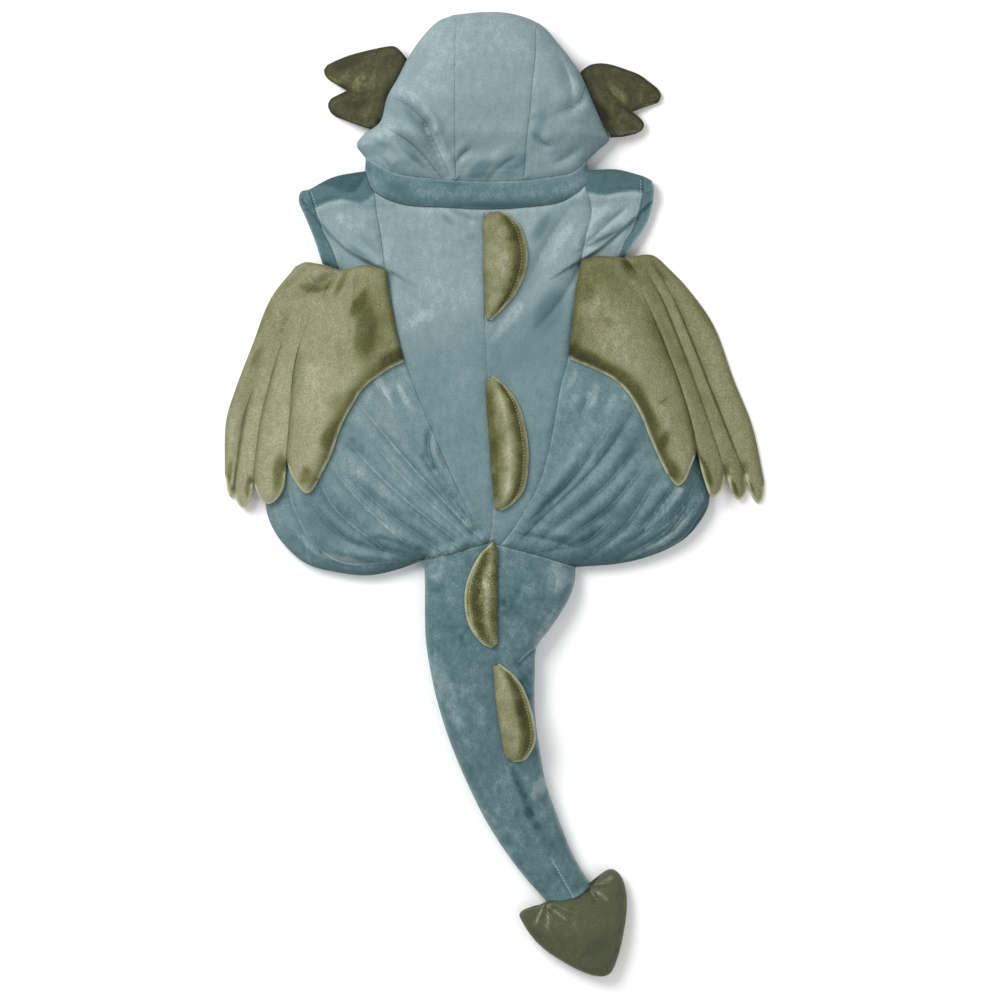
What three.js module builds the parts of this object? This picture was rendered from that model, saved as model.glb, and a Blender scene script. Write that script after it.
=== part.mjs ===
// Toddler's dragon costume in velour, laid face down on the floor with its back up.
// Millimetres, +X to the right of the view, +Y towards the hood, +Z up; the floor is z = 0.
import * as THREE from "three";

// Driving sizes
const WALL = 2;
const SEAM_GAP = 0.5;
const EDGE_ROLL_HOOD = 18;
const EDGE_ROLL_BODY = 10;
const SIDE_SEAM_TUCK = 7;
const LEG_HEM_TURN = 27;
const WING_PADDING = 9;
const WING_STEP = 5;
const SPINE_PADDING = 15;
const EAR_PADDING = 11;
const SEAM_WIDTH = 4.5;
const SEAM_DEPTH = 2.2;

// Height of the outer edge, how far the top rounds over towards it, and the loft of a sleeve
const BODY_EDGE = 12;
const HOOD_EDGE = 24;
const SLEEVE_EDGE = 8;
const BODY_ROUNDING = 44;
const HOOD_ROUNDING = 58;
const SLEEVE_ROUNDING = 14;
const SLEEVE_UNDER_ROLL = 7;
const SLEEVE_LOFT = 19;
const NECK_Y = 335;
const NECK_LENGTH = 45;

// Colours
const PALE_BLUE = 0x8ea1a5;
const TEAL_BLUE = 0x648185;
const OLIVE = 0x8b8b6b;
const DARK_OLIVE = 0x4a4b31;

// How high the garment lies, from the top of the hood down to the tail seam
const LOFT = [
  { y: 540, height: 60 },
  { y: 440, height: 61 },
  { y: 400, height: 55 },
  { y: 370, height: 45 },
  { y: 346, height: 38 },
  { y: 330, height: 38 },
  { y: 313, height: 33 },
  { y: 250, height: 31 },
  { y: 150, height: 30 },
  { y: 60, height: 34 },
  { y: 0, height: 39 },
  { y: -40, height: 39 },
  { y: -90, height: 37 },
];

// Hood: the outer edge and the panel seam on each side, from the neck to the crown
const HOOD_LEFT = [
  { edgeX: -141, edgeY: 370, seamX: -42, seamY: 345 },
  { edgeX: -151, edgeY: 384, seamX: -42, seamY: 362 },
  { edgeX: -142, edgeY: 397, seamX: -43, seamY: 380 },
  { edgeX: -125, edgeY: 410, seamX: -43, seamY: 400 },
  { edgeX: -118, edgeY: 436, seamX: -43, seamY: 425 },
  { edgeX: -106, edgeY: 458, seamX: -43, seamY: 450 },
  { edgeX: -95, edgeY: 479, seamX: -43, seamY: 475 },
  { edgeX: -81, edgeY: 500, seamX: -43, seamY: 495 },
  { edgeX: -63, edgeY: 519, seamX: -42, seamY: 511 },
  { edgeX: -45, edgeY: 527, seamX: -41, seamY: 518 },
];
const HOOD_RIGHT = [
  { edgeX: 102, edgeY: 366, seamX: 32, seamY: 345 },
  { edgeX: 114, edgeY: 378, seamX: 34, seamY: 362 },
  { edgeX: 127, edgeY: 391, seamX: 35, seamY: 380 },
  { edgeX: 121, edgeY: 406, seamX: 37, seamY: 400 },
  { edgeX: 109, edgeY: 432, seamX: 40, seamY: 425 },
  { edgeX: 98, edgeY: 457, seamX: 42, seamY: 450 },
  { edgeX: 84, edgeY: 479, seamX: 45, seamY: 475 },
  { edgeX: 68, edgeY: 499, seamX: 46, seamY: 491 },
  { edgeX: 58, edgeY: 511, seamX: 46, seamY: 503 },
  { edgeX: 49, edgeY: 518, seamX: 46, seamY: 510 },
];
const CROWN_EDGE = [
  { x: -45, y: 527 },
  { x: -18, y: 530 },
  { x: 10, y: 530 },
  { x: 33, y: 525 },
  { x: 49, y: 518 },
];

// Collar band: its seam to the hood and its seam to the body, left to right
const COLLAR = [
  { hoodX: -141, hoodY: 370, bodyX: -142, bodyY: 356 },
  { hoodX: -118, hoodY: 357, bodyX: -131, bodyY: 332 },
  { hoodX: -96, hoodY: 350, bodyX: -99, bodyY: 318 },
  { hoodX: -42, hoodY: 345, bodyX: -55, bodyY: 315 },
  { hoodX: -11, hoodY: 344, bodyX: -10, bodyY: 313 },
  { hoodX: 32, hoodY: 345, bodyX: 33, bodyY: 315 },
  { hoodX: 78, hoodY: 351, bodyX: 74, bodyY: 321 },
  { hoodX: 92, hoodY: 357, bodyX: 100, bodyY: 339 },
  { hoodX: 102, hoodY: 366, bodyX: 104, bodyY: 357 },
];

// Seam down the middle of the back
const CENTRE_SEAM = [
  { x: -10, y: 313 },
  { x: -10, y: 250 },
  { x: -10, y: 190 },
  { x: -7, y: 130 },
  { x: -3, y: 60 },
  { x: 0, y: -14 },
  { x: -4, y: -53 },
];

// Sleeves: armhole, mid sleeve, hem seam and hem edge, from the shoulder to the underarm
const SLEEVE_LEFT = [
  { armX: -142, armY: 356, midX: -176, midY: 350, seamX: -204, seamY: 336, hemX: -213, hemY: 334 },
  { armX: -137, armY: 343, midX: -172, midY: 337, seamX: -202, seamY: 328, hemX: -215, hemY: 327 },
  { armX: -131, armY: 332, midX: -168, midY: 328, seamX: -199, seamY: 320, hemX: -214, hemY: 319 },
  { armX: -129, armY: 311, midX: -163, midY: 309, seamX: -194, seamY: 304, hemX: -209, hemY: 308 },
  { armX: -124, armY: 282, midX: -157, midY: 286, seamX: -188, seamY: 288, hemX: -203, hemY: 294 },
  { armX: -120, armY: 249, midX: -150, midY: 260, seamX: -179, seamY: 271, hemX: -196, hemY: 276 },
  { armX: -154, armY: 228, midX: -162, midY: 238, seamX: -171, seamY: 249, hemX: -189, hemY: 254 },
];
const SLEEVE_RIGHT = [
  { armX: 104, armY: 357, midX: 135, midY: 358, seamX: 164, seamY: 351, hemX: 174, hemY: 346 },
  { armX: 102, armY: 347, midX: 136, midY: 345, seamX: 164, seamY: 337, hemX: 176, hemY: 337 },
  { armX: 100, armY: 339, midX: 136, midY: 332, seamX: 163, seamY: 325, hemX: 175, hemY: 324 },
  { armX: 107, armY: 312, midX: 133, midY: 309, seamX: 158, seamY: 305, hemX: 172, hemY: 309 },
  { armX: 101, armY: 284, midX: 127, midY: 288, seamX: 152, seamY: 290, hemX: 166, hemY: 295 },
  { armX: 96, armY: 259, midX: 121, midY: 268, seamX: 144, seamY: 277, hemX: 157, hemY: 281 },
  { armX: 124, armY: 236, midX: 130, midY: 245, seamX: 136, seamY: 256, hemX: 145, hemY: 263 },
];

// Body sides: the princess seam and the outer edge, from the underarm to the tail seam
const BODY_LEFT = [
  { seamX: -120, seamY: 249, edgeX: -154, edgeY: 228 },
  { seamX: -113, seamY: 214, edgeX: -174, edgeY: 192 },
  { seamX: -107, seamY: 177, edgeX: -193, edgeY: 152 },
  { seamX: -98, seamY: 147, edgeX: -212, edgeY: 110 },
  { seamX: -84, seamY: 108, edgeX: -231, edgeY: 67 },
  { seamX: -68, seamY: 70, edgeX: -246, edgeY: 31 },
  { seamX: -57, seamY: 45, edgeX: -252, edgeY: 0 },
  { seamX: -46, seamY: 20, edgeX: -248, edgeY: -27 },
  { seamX: -39, seamY: 4, edgeX: -233, edgeY: -53 },
  { seamX: -33, seamY: -10, edgeX: -207, edgeY: -76 },
  { seamX: -28, seamY: -22, edgeX: -171, edgeY: -86 },
  { seamX: -24, seamY: -32, edgeX: -137, edgeY: -89 },
  { seamX: -19, seamY: -44, edgeX: -104, edgeY: -82 },
  { seamX: -14, seamY: -56, edgeX: -77, edgeY: -71 },
];
const BODY_RIGHT = [
  { seamX: 96, seamY: 259, edgeX: 124, edgeY: 236 },
  { seamX: 91, seamY: 230, edgeX: 146, edgeY: 203 },
  { seamX: 88, seamY: 204, edgeX: 160, edgeY: 174 },
  { seamX: 81, seamY: 149, edgeX: 181, edgeY: 131 },
  { seamX: 73, seamY: 118, edgeX: 200, edgeY: 97 },
  { seamX: 68, seamY: 89, edgeX: 216, edgeY: 65 },
  { seamX: 61, seamY: 52, edgeX: 230, edgeY: 36 },
  { seamX: 56, seamY: 32, edgeX: 237, edgeY: 8 },
  { seamX: 50, seamY: 14, edgeX: 236, edgeY: -12 },
  { seamX: 43, seamY: -1, edgeX: 226, edgeY: -31 },
  { seamX: 36, seamY: -14, edgeX: 208, edgeY: -50 },
  { seamX: 28, seamY: -27, edgeX: 177, edgeY: -66 },
  { seamX: 19, seamY: -41, edgeX: 138, edgeY: -76 },
  { seamX: 7, seamY: -56, edgeX: 90, edgeY: -80 },
];

// Gathers of the seat, fanning out from the tail seam, and the main creases of hood and sleeves
const FOLDS = [
  { x1: -67, y1: 66, x2: -52, y2: 18, x3: -22, y3: -36, width: 6, depth: 5 },
  { x1: -151, y1: 101, x2: -88, y2: 32, x3: -30, y3: -43, width: 8, depth: 6 },
  { x1: -172, y1: 38, x2: -122, y2: -14, x3: -58, y3: -57, width: 8, depth: 5 },
  { x1: -190, y1: 9, x2: -165, y2: -30, x3: -116, y3: -64, width: 8, depth: 5 },
  { x1: -207, y1: -6, x2: -182, y2: -36, x3: -160, y3: -70, width: 7, depth: 4 },
  { x1: -227, y1: 8, x2: -214, y2: -30, x3: -196, y3: -66, width: 7, depth: 4 },
  { x1: -172, y1: -43, x2: -133, y2: -70, x3: -84, y3: -74, width: 6, depth: 4 },
  { x1: 155, y1: 97, x2: 104, y2: 14, x3: 33, y3: -42, width: 8, depth: 6 },
  { x1: 182, y1: 21, x2: 154, y2: -30, x3: 102, y3: -66, width: 8, depth: 5 },
  { x1: 143, y1: -10, x2: 110, y2: -44, x3: 66, y3: -60, width: 7, depth: 4 },
  { x1: 198, y1: 8, x2: 168, y2: -36, x3: 134, y3: -66, width: 7, depth: 4 },
  { x1: 224, y1: 13, x2: 195, y2: -34, x3: 158, y3: -66, width: 7, depth: 4 },
  { x1: -98, y1: 442, x2: -82, y2: 424, x3: -66, y3: 414, width: 7, depth: 3 },
  { x1: -62, y1: 402, x2: -42, y2: 374, x3: -24, y3: 350, width: 6, depth: 3 },
  { x1: 74, y1: 480, x2: 86, y2: 446, x3: 90, y3: 414, width: 7, depth: 3 },
];

// Where the sleeve folds over itself below the shoulder blade
const SLEEVE_FOLDS = [
  { x1: -204, y1: 316, x2: -163, y2: 272, x3: -118, y3: 247, drop: 6 },
  { x1: 158, y1: 309, x2: 120, y2: 275, x3: 92, y3: 256, drop: 6 },
];

// Wings: five rails from the root to the valleys between the lobes
const WING_LEFT = [
  { inX: -119, inY: 247, aX: -164, aY: 249, bX: -180, bY: 250, cX: -196, cY: 254, outX: -210, outY: 255 },
  { inX: -108, inY: 183, aX: -193, aY: 214, bX: -213, bY: 211, cX: -231, cY: 206, outX: -243, outY: 221 },
  { inX: -99, inY: 149, aX: -213, aY: 172, bX: -233, bY: 170, cX: -253, cY: 157, outX: -267, outY: 164 },
  { inX: -146, inY: 111, aX: -220, aY: 138, bX: -248, bY: 124, cX: -266, cY: 115, outX: -285, outY: 117 },
  { inX: -172, inY: 62, aX: -223, aY: 93, bX: -258, bY: 84, cX: -276, cY: 80, outX: -296, outY: 78 },
  { inX: -191, inY: 19, aX: -228, aY: 37, bX: -266, bY: 18, cX: -288, cY: 27, outX: -297, outY: 24 },
];
const WING_LEFT_LOBES = {
  first: [
    { x: -191, y: 19 },
    { x: -199, y: 5 },
    { x: -208, y: 2 },
    { x: -221, y: 19 },
    { x: -228, y: 37 },
  ],
  second: [
    { x: -228, y: 37 },
    { x: -231, y: 6 },
    { x: -245, y: -10 },
    { x: -258, y: -3 },
    { x: -266, y: 18 },
  ],
  third: [
    { x: -266, y: 18 },
    { x: -267, y: -2 },
    { x: -277, y: -13 },
    { x: -286, y: -2 },
    { x: -288, y: 27 },
  ],
  outer: [
    { x: -288, y: 27 },
    { x: -289, y: 8 },
    { x: -293, y: 1 },
    { x: -297, y: 9 },
    { x: -297, y: 24 },
  ],
};
const WING_RIGHT = [
  { inX: 95, inY: 257, aX: 136, aY: 263, bX: 152, bY: 262, cX: 167, cY: 264, outX: 182, outY: 260 },
  { inX: 89, inY: 203, aX: 158, aY: 232, bX: 178, bY: 230, cX: 196, cY: 220, outX: 214, outY: 227 },
  { inX: 82, inY: 151, aX: 182, aY: 179, bX: 202, bY: 178, cX: 219, cY: 168, outX: 243, outY: 185 },
  { inX: 134, inY: 126, aX: 200, aY: 138, bX: 222, bY: 128, cX: 241, cY: 112, outX: 264, outY: 128 },
  { inX: 164, inY: 78, aX: 213, aY: 98, bX: 238, bY: 84, cX: 260, cY: 66, outX: 285, outY: 75 },
  { inX: 189, inY: 23, aX: 223, aY: 47, bX: 256, bY: 30, cX: 276, cY: 32, outX: 298, outY: 15 },
];
const WING_RIGHT_LOBES = {
  first: [
    { x: 189, y: 23 },
    { x: 200, y: 10 },
    { x: 209, y: 15 },
    { x: 216, y: 30 },
    { x: 223, y: 47 },
  ],
  second: [
    { x: 223, y: 47 },
    { x: 230, y: 18 },
    { x: 239, y: -3 },
    { x: 251, y: 6 },
    { x: 256, y: 30 },
  ],
  third: [
    { x: 256, y: 30 },
    { x: 261, y: 4 },
    { x: 270, y: -6 },
    { x: 278, y: 4 },
    { x: 276, y: 32 },
  ],
  outer: [
    { x: 276, y: 32 },
    { x: 281, y: 6 },
    { x: 290, y: -10 },
    { x: 297, y: -2 },
    { x: 298, y: 15 },
  ],
};

// Tail: its two edges, its height and how far its edge rounds, from the seam to the cuff
const TAIL = [
  { leftX: -77, leftY: -72, rightX: 90, rightY: -81, height: 37, rounding: 50 },
  { leftX: -76, leftY: -100, rightX: 88, rightY: -99, height: 46, rounding: 62 },
  { leftX: -76, leftY: -129, rightX: 79, rightY: -121, height: 52, rounding: 64 },
  { leftX: -75, leftY: -160, rightX: 62, rightY: -147, height: 54, rounding: 58 },
  { leftX: -70, leftY: -193, rightX: 47, rightY: -168, height: 54, rounding: 52 },
  { leftX: -62, leftY: -229, rightX: 45, rightY: -196, height: 53, rounding: 48 },
  { leftX: -48, leftY: -273, rightX: 45, rightY: -238, height: 51, rounding: 44 },
  { leftX: -31, leftY: -314, rightX: 50, rightY: -279, height: 48, rounding: 40 },
  { leftX: -11, leftY: -355, rightX: 58, rightY: -320, height: 44, rounding: 36 },
  { leftX: 10, leftY: -389, rightX: 72, rightY: -360, height: 40, rounding: 32 },
  { leftX: 33, leftY: -420, rightX: 87, rightY: -397, height: 36, rounding: 30 },
  { leftX: 57, leftY: -447, rightX: 106, rightY: -430, height: 32, rounding: 26 },
];
const TAIL_SEAM = [
  { x: -77, y: -71 },
  { x: -45, y: -64 },
  { x: -14, y: -56 },
  { x: -4, y: -53 },
  { x: 7, y: -56 },
  { x: 48, y: -67 },
  { x: 90, y: -80 },
];
const TAIL_CUFF = [
  { x: 57, y: -447 },
  { x: 76, y: -446 },
  { x: 93, y: -441 },
  { x: 106, y: -430 },
];

// Arrow-shaped tip: the barbed edges on each side of it, from the cuff to the point
const TIP = [
  { leftX: 57, leftY: -448, rightX: 107, rightY: -431 },
  { leftX: 47, leftY: -453, rightX: 114, rightY: -422 },
  { leftX: 35, leftY: -456, rightX: 123, rightY: -414 },
  { leftX: 28, leftY: -462, rightX: 132, rightY: -413 },
  { leftX: 32, leftY: -472, rightX: 141, rightY: -422 },
  { leftX: 42, leftY: -487, rightX: 146, rightY: -441 },
  { leftX: 56, leftY: -501, rightX: 146, rightY: -460 },
  { leftX: 74, leftY: -513, rightX: 143, rightY: -481 },
  { leftX: 92, leftY: -523, rightX: 139, rightY: -500 },
  { leftX: 107, leftY: -529, rightX: 133, rightY: -519 },
];
const TIP_POINT = [
  { x: 107, y: -529 },
  { x: 119, y: -530.5 },
  { x: 128, y: -527 },
  { x: 133, y: -519 },
];

// Ears: upper edge, outer edge with its valley, and lower edge; the base follows the hood
const EAR_LEFT = {
  fromStation: 3.0,
  toStation: 6.0,
  upper: [
    { x: -95, y: 479 },
    { x: -110, y: 493 },
    { x: -140, y: 489 },
    { x: -184, y: 474 },
  ],
  outer: [
    { x: -184, y: 474 },
    { x: -183, y: 458 },
    { x: -162, y: 445 },
    { x: -180, y: 434 },
    { x: -178, y: 420 },
  ],
  lower: [
    { x: -125, y: 410 },
    { x: -136, y: 402 },
    { x: -157, y: 410 },
    { x: -178, y: 420 },
  ],
};
const EAR_RIGHT = {
  fromStation: 2.1,
  toStation: 5.3,
  upper: [
    { x: 94, y: 464 },
    { x: 113, y: 475 },
    { x: 143, y: 470 },
    { x: 172, y: 457 },
  ],
  outer: [
    { x: 172, y: 457 },
    { x: 183, y: 441 },
    { x: 153, y: 423 },
    { x: 164, y: 412 },
    { x: 164, y: 403 },
  ],
  lower: [
    { x: 127, y: 391 },
    { x: 140, y: 391 },
    { x: 155, y: 396 },
    { x: 164, y: 403 },
  ],
};

// Spines: stuffed crescents, each with its straight base on the seam and its bulging side
const SPINES = [
  [
    { baseX: -5, baseY: 310, bulgeX: 8, bulgeY: 311 },
    { baseX: -13, baseY: 300, bulgeX: 20, bulgeY: 304 },
    { baseX: -12, baseY: 280, bulgeX: 31, bulgeY: 290 },
    { baseX: -12, baseY: 260, bulgeX: 37, bulgeY: 264 },
    { baseX: -12, baseY: 240, bulgeX: 33, bulgeY: 240 },
    { baseX: -10, baseY: 217, bulgeX: 22, bulgeY: 218 },
    { baseX: -10, baseY: 200, bulgeX: 8, bulgeY: 202 },
    { baseX: -8, baseY: 191, bulgeX: -3, bulgeY: 191 },
  ],
  [
    { baseX: -7, baseY: 129, bulgeX: 0, bulgeY: 130 },
    { baseX: -9, baseY: 118, bulgeX: 14, bulgeY: 118 },
    { baseX: -8, baseY: 96, bulgeX: 28, bulgeY: 97 },
    { baseX: -6, baseY: 68, bulgeX: 36, bulgeY: 66 },
    { baseX: -4, baseY: 40, bulgeX: 38, bulgeY: 38 },
    { baseX: -2, baseY: 14, bulgeX: 34, bulgeY: 8 },
    { baseX: 0, baseY: -8, bulgeX: 22, bulgeY: -9 },
    { baseX: 1, baseY: -16, bulgeX: 8, bulgeY: -18 },
  ],
  [
    { baseX: 3, baseY: -56, bulgeX: -2, bulgeY: -52 },
    { baseX: 4, baseY: -70, bulgeX: -17, bulgeY: -68 },
    { baseX: 4, baseY: -88, bulgeX: -27, bulgeY: -88 },
    { baseX: 4, baseY: -106, bulgeX: -32, bulgeY: -108 },
    { baseX: 4, baseY: -124, bulgeX: -31, bulgeY: -130 },
    { baseX: 4, baseY: -141, bulgeX: -25, bulgeY: -148 },
    { baseX: 4, baseY: -155, bulgeX: -13, bulgeY: -163 },
    { baseX: 4, baseY: -163, bulgeX: -3, bulgeY: -168 },
  ],
  [
    { baseX: -1, baseY: -188, bulgeX: 6, bulgeY: -185 },
    { baseX: 0, baseY: -202, bulgeX: 23, bulgeY: -199 },
    { baseX: 1, baseY: -218, bulgeX: 34, bulgeY: -216 },
    { baseX: 3, baseY: -234, bulgeX: 41, bulgeY: -236 },
    { baseX: 5, baseY: -250, bulgeX: 45, bulgeY: -254 },
    { baseX: 8, baseY: -266, bulgeX: 45, bulgeY: -272 },
    { baseX: 10, baseY: -280, bulgeX: 35, bulgeY: -290 },
    { baseX: 13, baseY: -289, bulgeX: 22, bulgeY: -293 },
  ],
];

// Small helpers on numbers and points
const clamp = (value, low, high) => Math.min(high, Math.max(low, value));
const mix = (a, b, t) => a + (b - a) * t;
const ease = (t) => clamp(t, 0, 1) ** 2 * (3 - 2 * clamp(t, 0, 1));
const blend = (p, q, t) => [mix(p[0], q[0], t), mix(p[1], q[1], t)];
const column = (table, name) => table.map((row) => [row[name + "X"], row[name + "Y"]]);
const points = (table) => table.map((row) => [row.x, row.y]);

// A smooth curve through the given points; its parameter counts the points
function curveAt(list, t) {
  const last = list.length - 1;
  const i = clamp(Math.floor(t), 0, last - 1);
  const f = t - i;
  const p1 = list[i];
  const p2 = list[i + 1];
  const p0 = i > 0 ? list[i - 1] : [2 * p1[0] - p2[0], 2 * p1[1] - p2[1]];
  const p3 = i + 2 <= last ? list[i + 2] : [2 * p2[0] - p1[0], 2 * p2[1] - p1[1]];
  const value = (k) => {
    const a = 2 * p1[k];
    const b = p2[k] - p0[k];
    const c = 2 * p0[k] - 5 * p1[k] + 4 * p2[k] - p3[k];
    const d = 3 * p1[k] - p0[k] - 3 * p2[k] + p3[k];
    return (a + b * f + c * f * f + d * f * f * f) / 2;
  };
  return [value(0), value(1)];
}

// A run of points on that curve, evenly spread between two of its stations
function run(list, steps, from = 0, to = list.length - 1) {
  return Array.from({ length: steps + 1 }, (_, i) => curveAt(list, mix(from, to, i / steps)));
}

// Straight run between two points
function straight(p, q, steps) {
  return Array.from({ length: steps + 1 }, (_, i) => blend(p, q, i / steps));
}

// Several runs end to end, with the shared points kept once
function join(...runs) {
  return runs.reduce((all, next) => all.concat(next.slice(1)));
}

// A patch spanned by four runs: rows go from start to end, columns from one side to the other
function patch(sideA, sideB, start, end) {
  const rows = sideA.length - 1;
  const columns = start.length - 1;
  const share = start.map((p) => {
    const whole = Math.hypot(start[columns][0] - start[0][0], start[columns][1] - start[0][1]);
    return clamp(Math.hypot(p[0] - start[0][0], p[1] - start[0][1]) / whole, 0, 1);
  });
  share[columns] = 1;
  return sideA.map((left, i) => {
    const v = i / rows;
    const right = sideB[i];
    return start.map((low, j) => {
      const u = share[j];
      const at = (k) =>
        mix(left[k], right[k], u) +
        mix(low[k], end[j][k], v) -
        mix(mix(start[0][k], start[columns][k], u), mix(end[0][k], end[columns][k], u), v);
      return [at(0), at(1)];
    });
  });
}

// Columns that crowd towards the outer edge, as shares of the way there
function shares(count) {
  return Array.from({ length: count + 1 }, (_, j) => {
    const s = j / count;
    return mix(s, 1 - (1 - s) ** 2, 0.8);
  });
}

// Rows of points between two runs, at the given shares of the way
function between(sideA, sideB, ways) {
  return sideA.map((p, i) => ways.map((t) => blend(p, sideB[i], t)));
}

// Nearest point of some open runs: how far it is, and the direction away from it
function nearest(x, y, runs) {
  let best = { distance: Infinity, alongX: 0, alongY: 0, awayX: 0, awayY: 1 };
  for (const list of runs) {
    for (let i = 0; i < list.length - 1; i += 1) {
      const [ax, ay] = list[i];
      const dx = list[i + 1][0] - ax;
      const dy = list[i + 1][1] - ay;
      const t = clamp(((x - ax) * dx + (y - ay) * dy) / (dx * dx + dy * dy), 0, 1);
      const awayX = x - ax - dx * t;
      const awayY = y - ay - dy * t;
      const distance = Math.hypot(awayX, awayY);
      if (distance < best.distance) best = { distance, awayX, awayY, alongX: dx, alongY: dy };
    }
  }
  return best;
}

// Outline of the laid garment, without the open ends of the sleeves and the tail seam
const shoulderEdge = (table) => {
  const row = table[0];
  return [[row.armX, row.armY], [row.midX, row.midY], [row.seamX, row.seamY], [row.hemX, row.hemY]];
};
const underarmEdge = (table) => {
  const row = table[table.length - 1];
  return [[row.hemX, row.hemY], [row.seamX, row.seamY], [row.midX, row.midY], [row.armX, row.armY]];
};
const hoodEdges = join(
  run(column(HOOD_LEFT, "edge"), 36),
  run(points(CROWN_EDGE), 12),
  run(column(HOOD_RIGHT, "edge"), 36).reverse(),
);
const outlineLeft = [
  straight(column(COLLAR, "body")[0], column(COLLAR, "hood")[0], 2),
  run(shoulderEdge(SLEEVE_LEFT), 9),
  join(run(underarmEdge(SLEEVE_LEFT), 9), run(column(BODY_LEFT, "edge"), 52)),
];
const outlineRight = [
  straight(column(COLLAR, "body")[8], column(COLLAR, "hood")[8], 2),
  run(shoulderEdge(SLEEVE_RIGHT), 9),
  join(run(underarmEdge(SLEEVE_RIGHT), 9), run(column(BODY_RIGHT, "edge"), 52)),
];
const garmentOutline = [hoodEdges, ...outlineLeft, ...outlineRight];
const silhouette = [
  ...run(shoulderEdge(SLEEVE_LEFT), 9).reverse(),
  ...hoodEdges,
  ...run(shoulderEdge(SLEEVE_RIGHT), 9),
  ...outlineRight[2],
  ...[...outlineLeft[2]].reverse(),
];

// Whether a point lies inside the laid garment
function inside(x, y) {
  let within = false;
  silhouette.forEach(([ax, ay], i) => {
    const [bx, by] = silhouette[(i + 1) % silhouette.length];
    if (ay > y !== by > y && x < ax + ((y - ay) * (bx - ax)) / (by - ay)) within = !within;
  });
  return within;
}

// Seam lines, which pull the cloth in
const seamLines = [
  run(points(CENTRE_SEAM), 12),
  join(run(column(SLEEVE_LEFT, "arm"), 9, 2, 5), run(column(BODY_LEFT, "seam"), 26)),
  join(run(column(SLEEVE_RIGHT, "arm"), 9, 2, 5), run(column(BODY_RIGHT, "seam"), 26)),
  run(column(COLLAR, "hood"), 24),
  run(column(COLLAR, "body"), 24),
  run(column(HOOD_LEFT, "seam"), 9),
  run(column(HOOD_RIGHT, "seam"), 9),
  run(column(SLEEVE_LEFT, "seam"), 12),
  run(column(SLEEVE_RIGHT, "seam"), 12),
  run(points(TAIL_SEAM), 12),
];
const bowed = (row) => run([[row.x1, row.y1], [row.x2, row.y2], [row.x3, row.y3]], 8);
const foldLines = FOLDS.map((row) => ({ ...row, line: bowed(row) }));
const sleeveFoldLines = SLEEVE_FOLDS.map((row) => ({ ...row, line: bowed(row) }));

// How far out along a sleeve a point is, from 0 on the body to 1 at the hem
function onSleeve(x, y) {
  const fromMiddle = Math.abs(x + 15);
  return ease((fromMiddle - 105) / 85) * ease((y - 215) / 35);
}

// 0 on the body, 1 on the hood
const onHood = (y) => ease((y - NECK_Y) / NECK_LENGTH);

// Height of the cloth away from the edges, with or without its folds
function loft(x, y, folded = true) {
  const rows = LOFT;
  let i = 0;
  while (i < rows.length - 2 && y < rows[i + 1].y) i += 1;
  const t = ease((rows[i].y - y) / (rows[i].y - rows[i + 1].y));
  let height = mix(rows[i].height, rows[i + 1].height, t);
  height = mix(height, SLEEVE_LOFT, onSleeve(x, y));
  if (!folded) return height;
  const seam = nearest(x, y, seamLines).distance;
  height -= SEAM_DEPTH * Math.exp(-((seam / SEAM_WIDTH) ** 2));
  for (const fold of foldLines) {
    const away = nearest(x, y, [fold.line]).distance;
    height -= fold.depth * Math.exp(-((away / fold.width) ** 2));
    height += 0.35 * fold.depth * Math.exp(-(((away - 1.9 * fold.width) / fold.width) ** 2));
  }
  for (const fold of sleeveFoldLines) {
    const near = nearest(x, y, [fold.line]);
    const below = near.awayX * near.alongY - near.awayY * near.alongX;
    const lower = fold.x1 < 0 ? below > 0 : below < 0;
    const away = lower ? near.distance : 0;
    height -= fold.drop * ease(away / 5) * Math.exp(-((near.distance / 26) ** 2));
  }
  return height;
}

// Height of the outer edge, and how far the cloth takes to round over above and below it
function edgeHeight(x, y) {
  return mix(mix(BODY_EDGE, HOOD_EDGE, onHood(y)), SLEEVE_EDGE, onSleeve(x, y));
}
function topRounding(x, y) {
  return mix(mix(BODY_ROUNDING, HOOD_ROUNDING, onHood(y)), SLEEVE_ROUNDING, onSleeve(x, y));
}
function underRounding(x, y) {
  return mix(mix(EDGE_ROLL_BODY, EDGE_ROLL_HOOD, onHood(y)), SLEEVE_UNDER_ROLL, onSleeve(x, y));
}

// The laid cloth at a point: height and outward direction, on its upper or its under layer
function sheet(x, y, upper) {
  const near = nearest(x, y, garmentOutline);
  const rounding = upper ? topRounding(x, y) : underRounding(x, y);
  const c = clamp(1 - near.distance / rounding, 0, 1);
  const s = Math.sqrt(1 - c * c);
  const edge = edgeHeight(x, y);
  let away = [near.awayX, near.awayY];
  if (near.distance < 0.02) {
    const turned = [-near.alongY, near.alongX];
    const inward = inside(x + turned[0] * 0.01, y + turned[1] * 0.01) ? 1 : -1;
    away = [turned[0] * inward, turned[1] * inward];
  }
  const length = Math.hypot(away[0], away[1]);
  const inX = away[0] / length;
  const inY = away[1] / length;
  if (!upper) {
    const slope = (-edge * c) / rounding;
    const down = new THREE.Vector3(slope * inX, slope * inY, -s).normalize();
    return { z: edge * (1 - s), normal: down };
  }
  const rise = loft(x, y) - edge;
  const gradX = (loft(x + 1, y) - loft(x - 1, y)) / 2;
  const gradY = (loft(x, y + 1) - loft(x, y - 1)) / 2;
  const n = new THREE.Vector3(
    -s * s * gradX - (rise * c * inX) / rounding,
    -s * s * gradY - (rise * c * inY) / rounding,
    s,
  ).normalize();
  return { z: edge + rise * s, normal: n };
}

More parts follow.
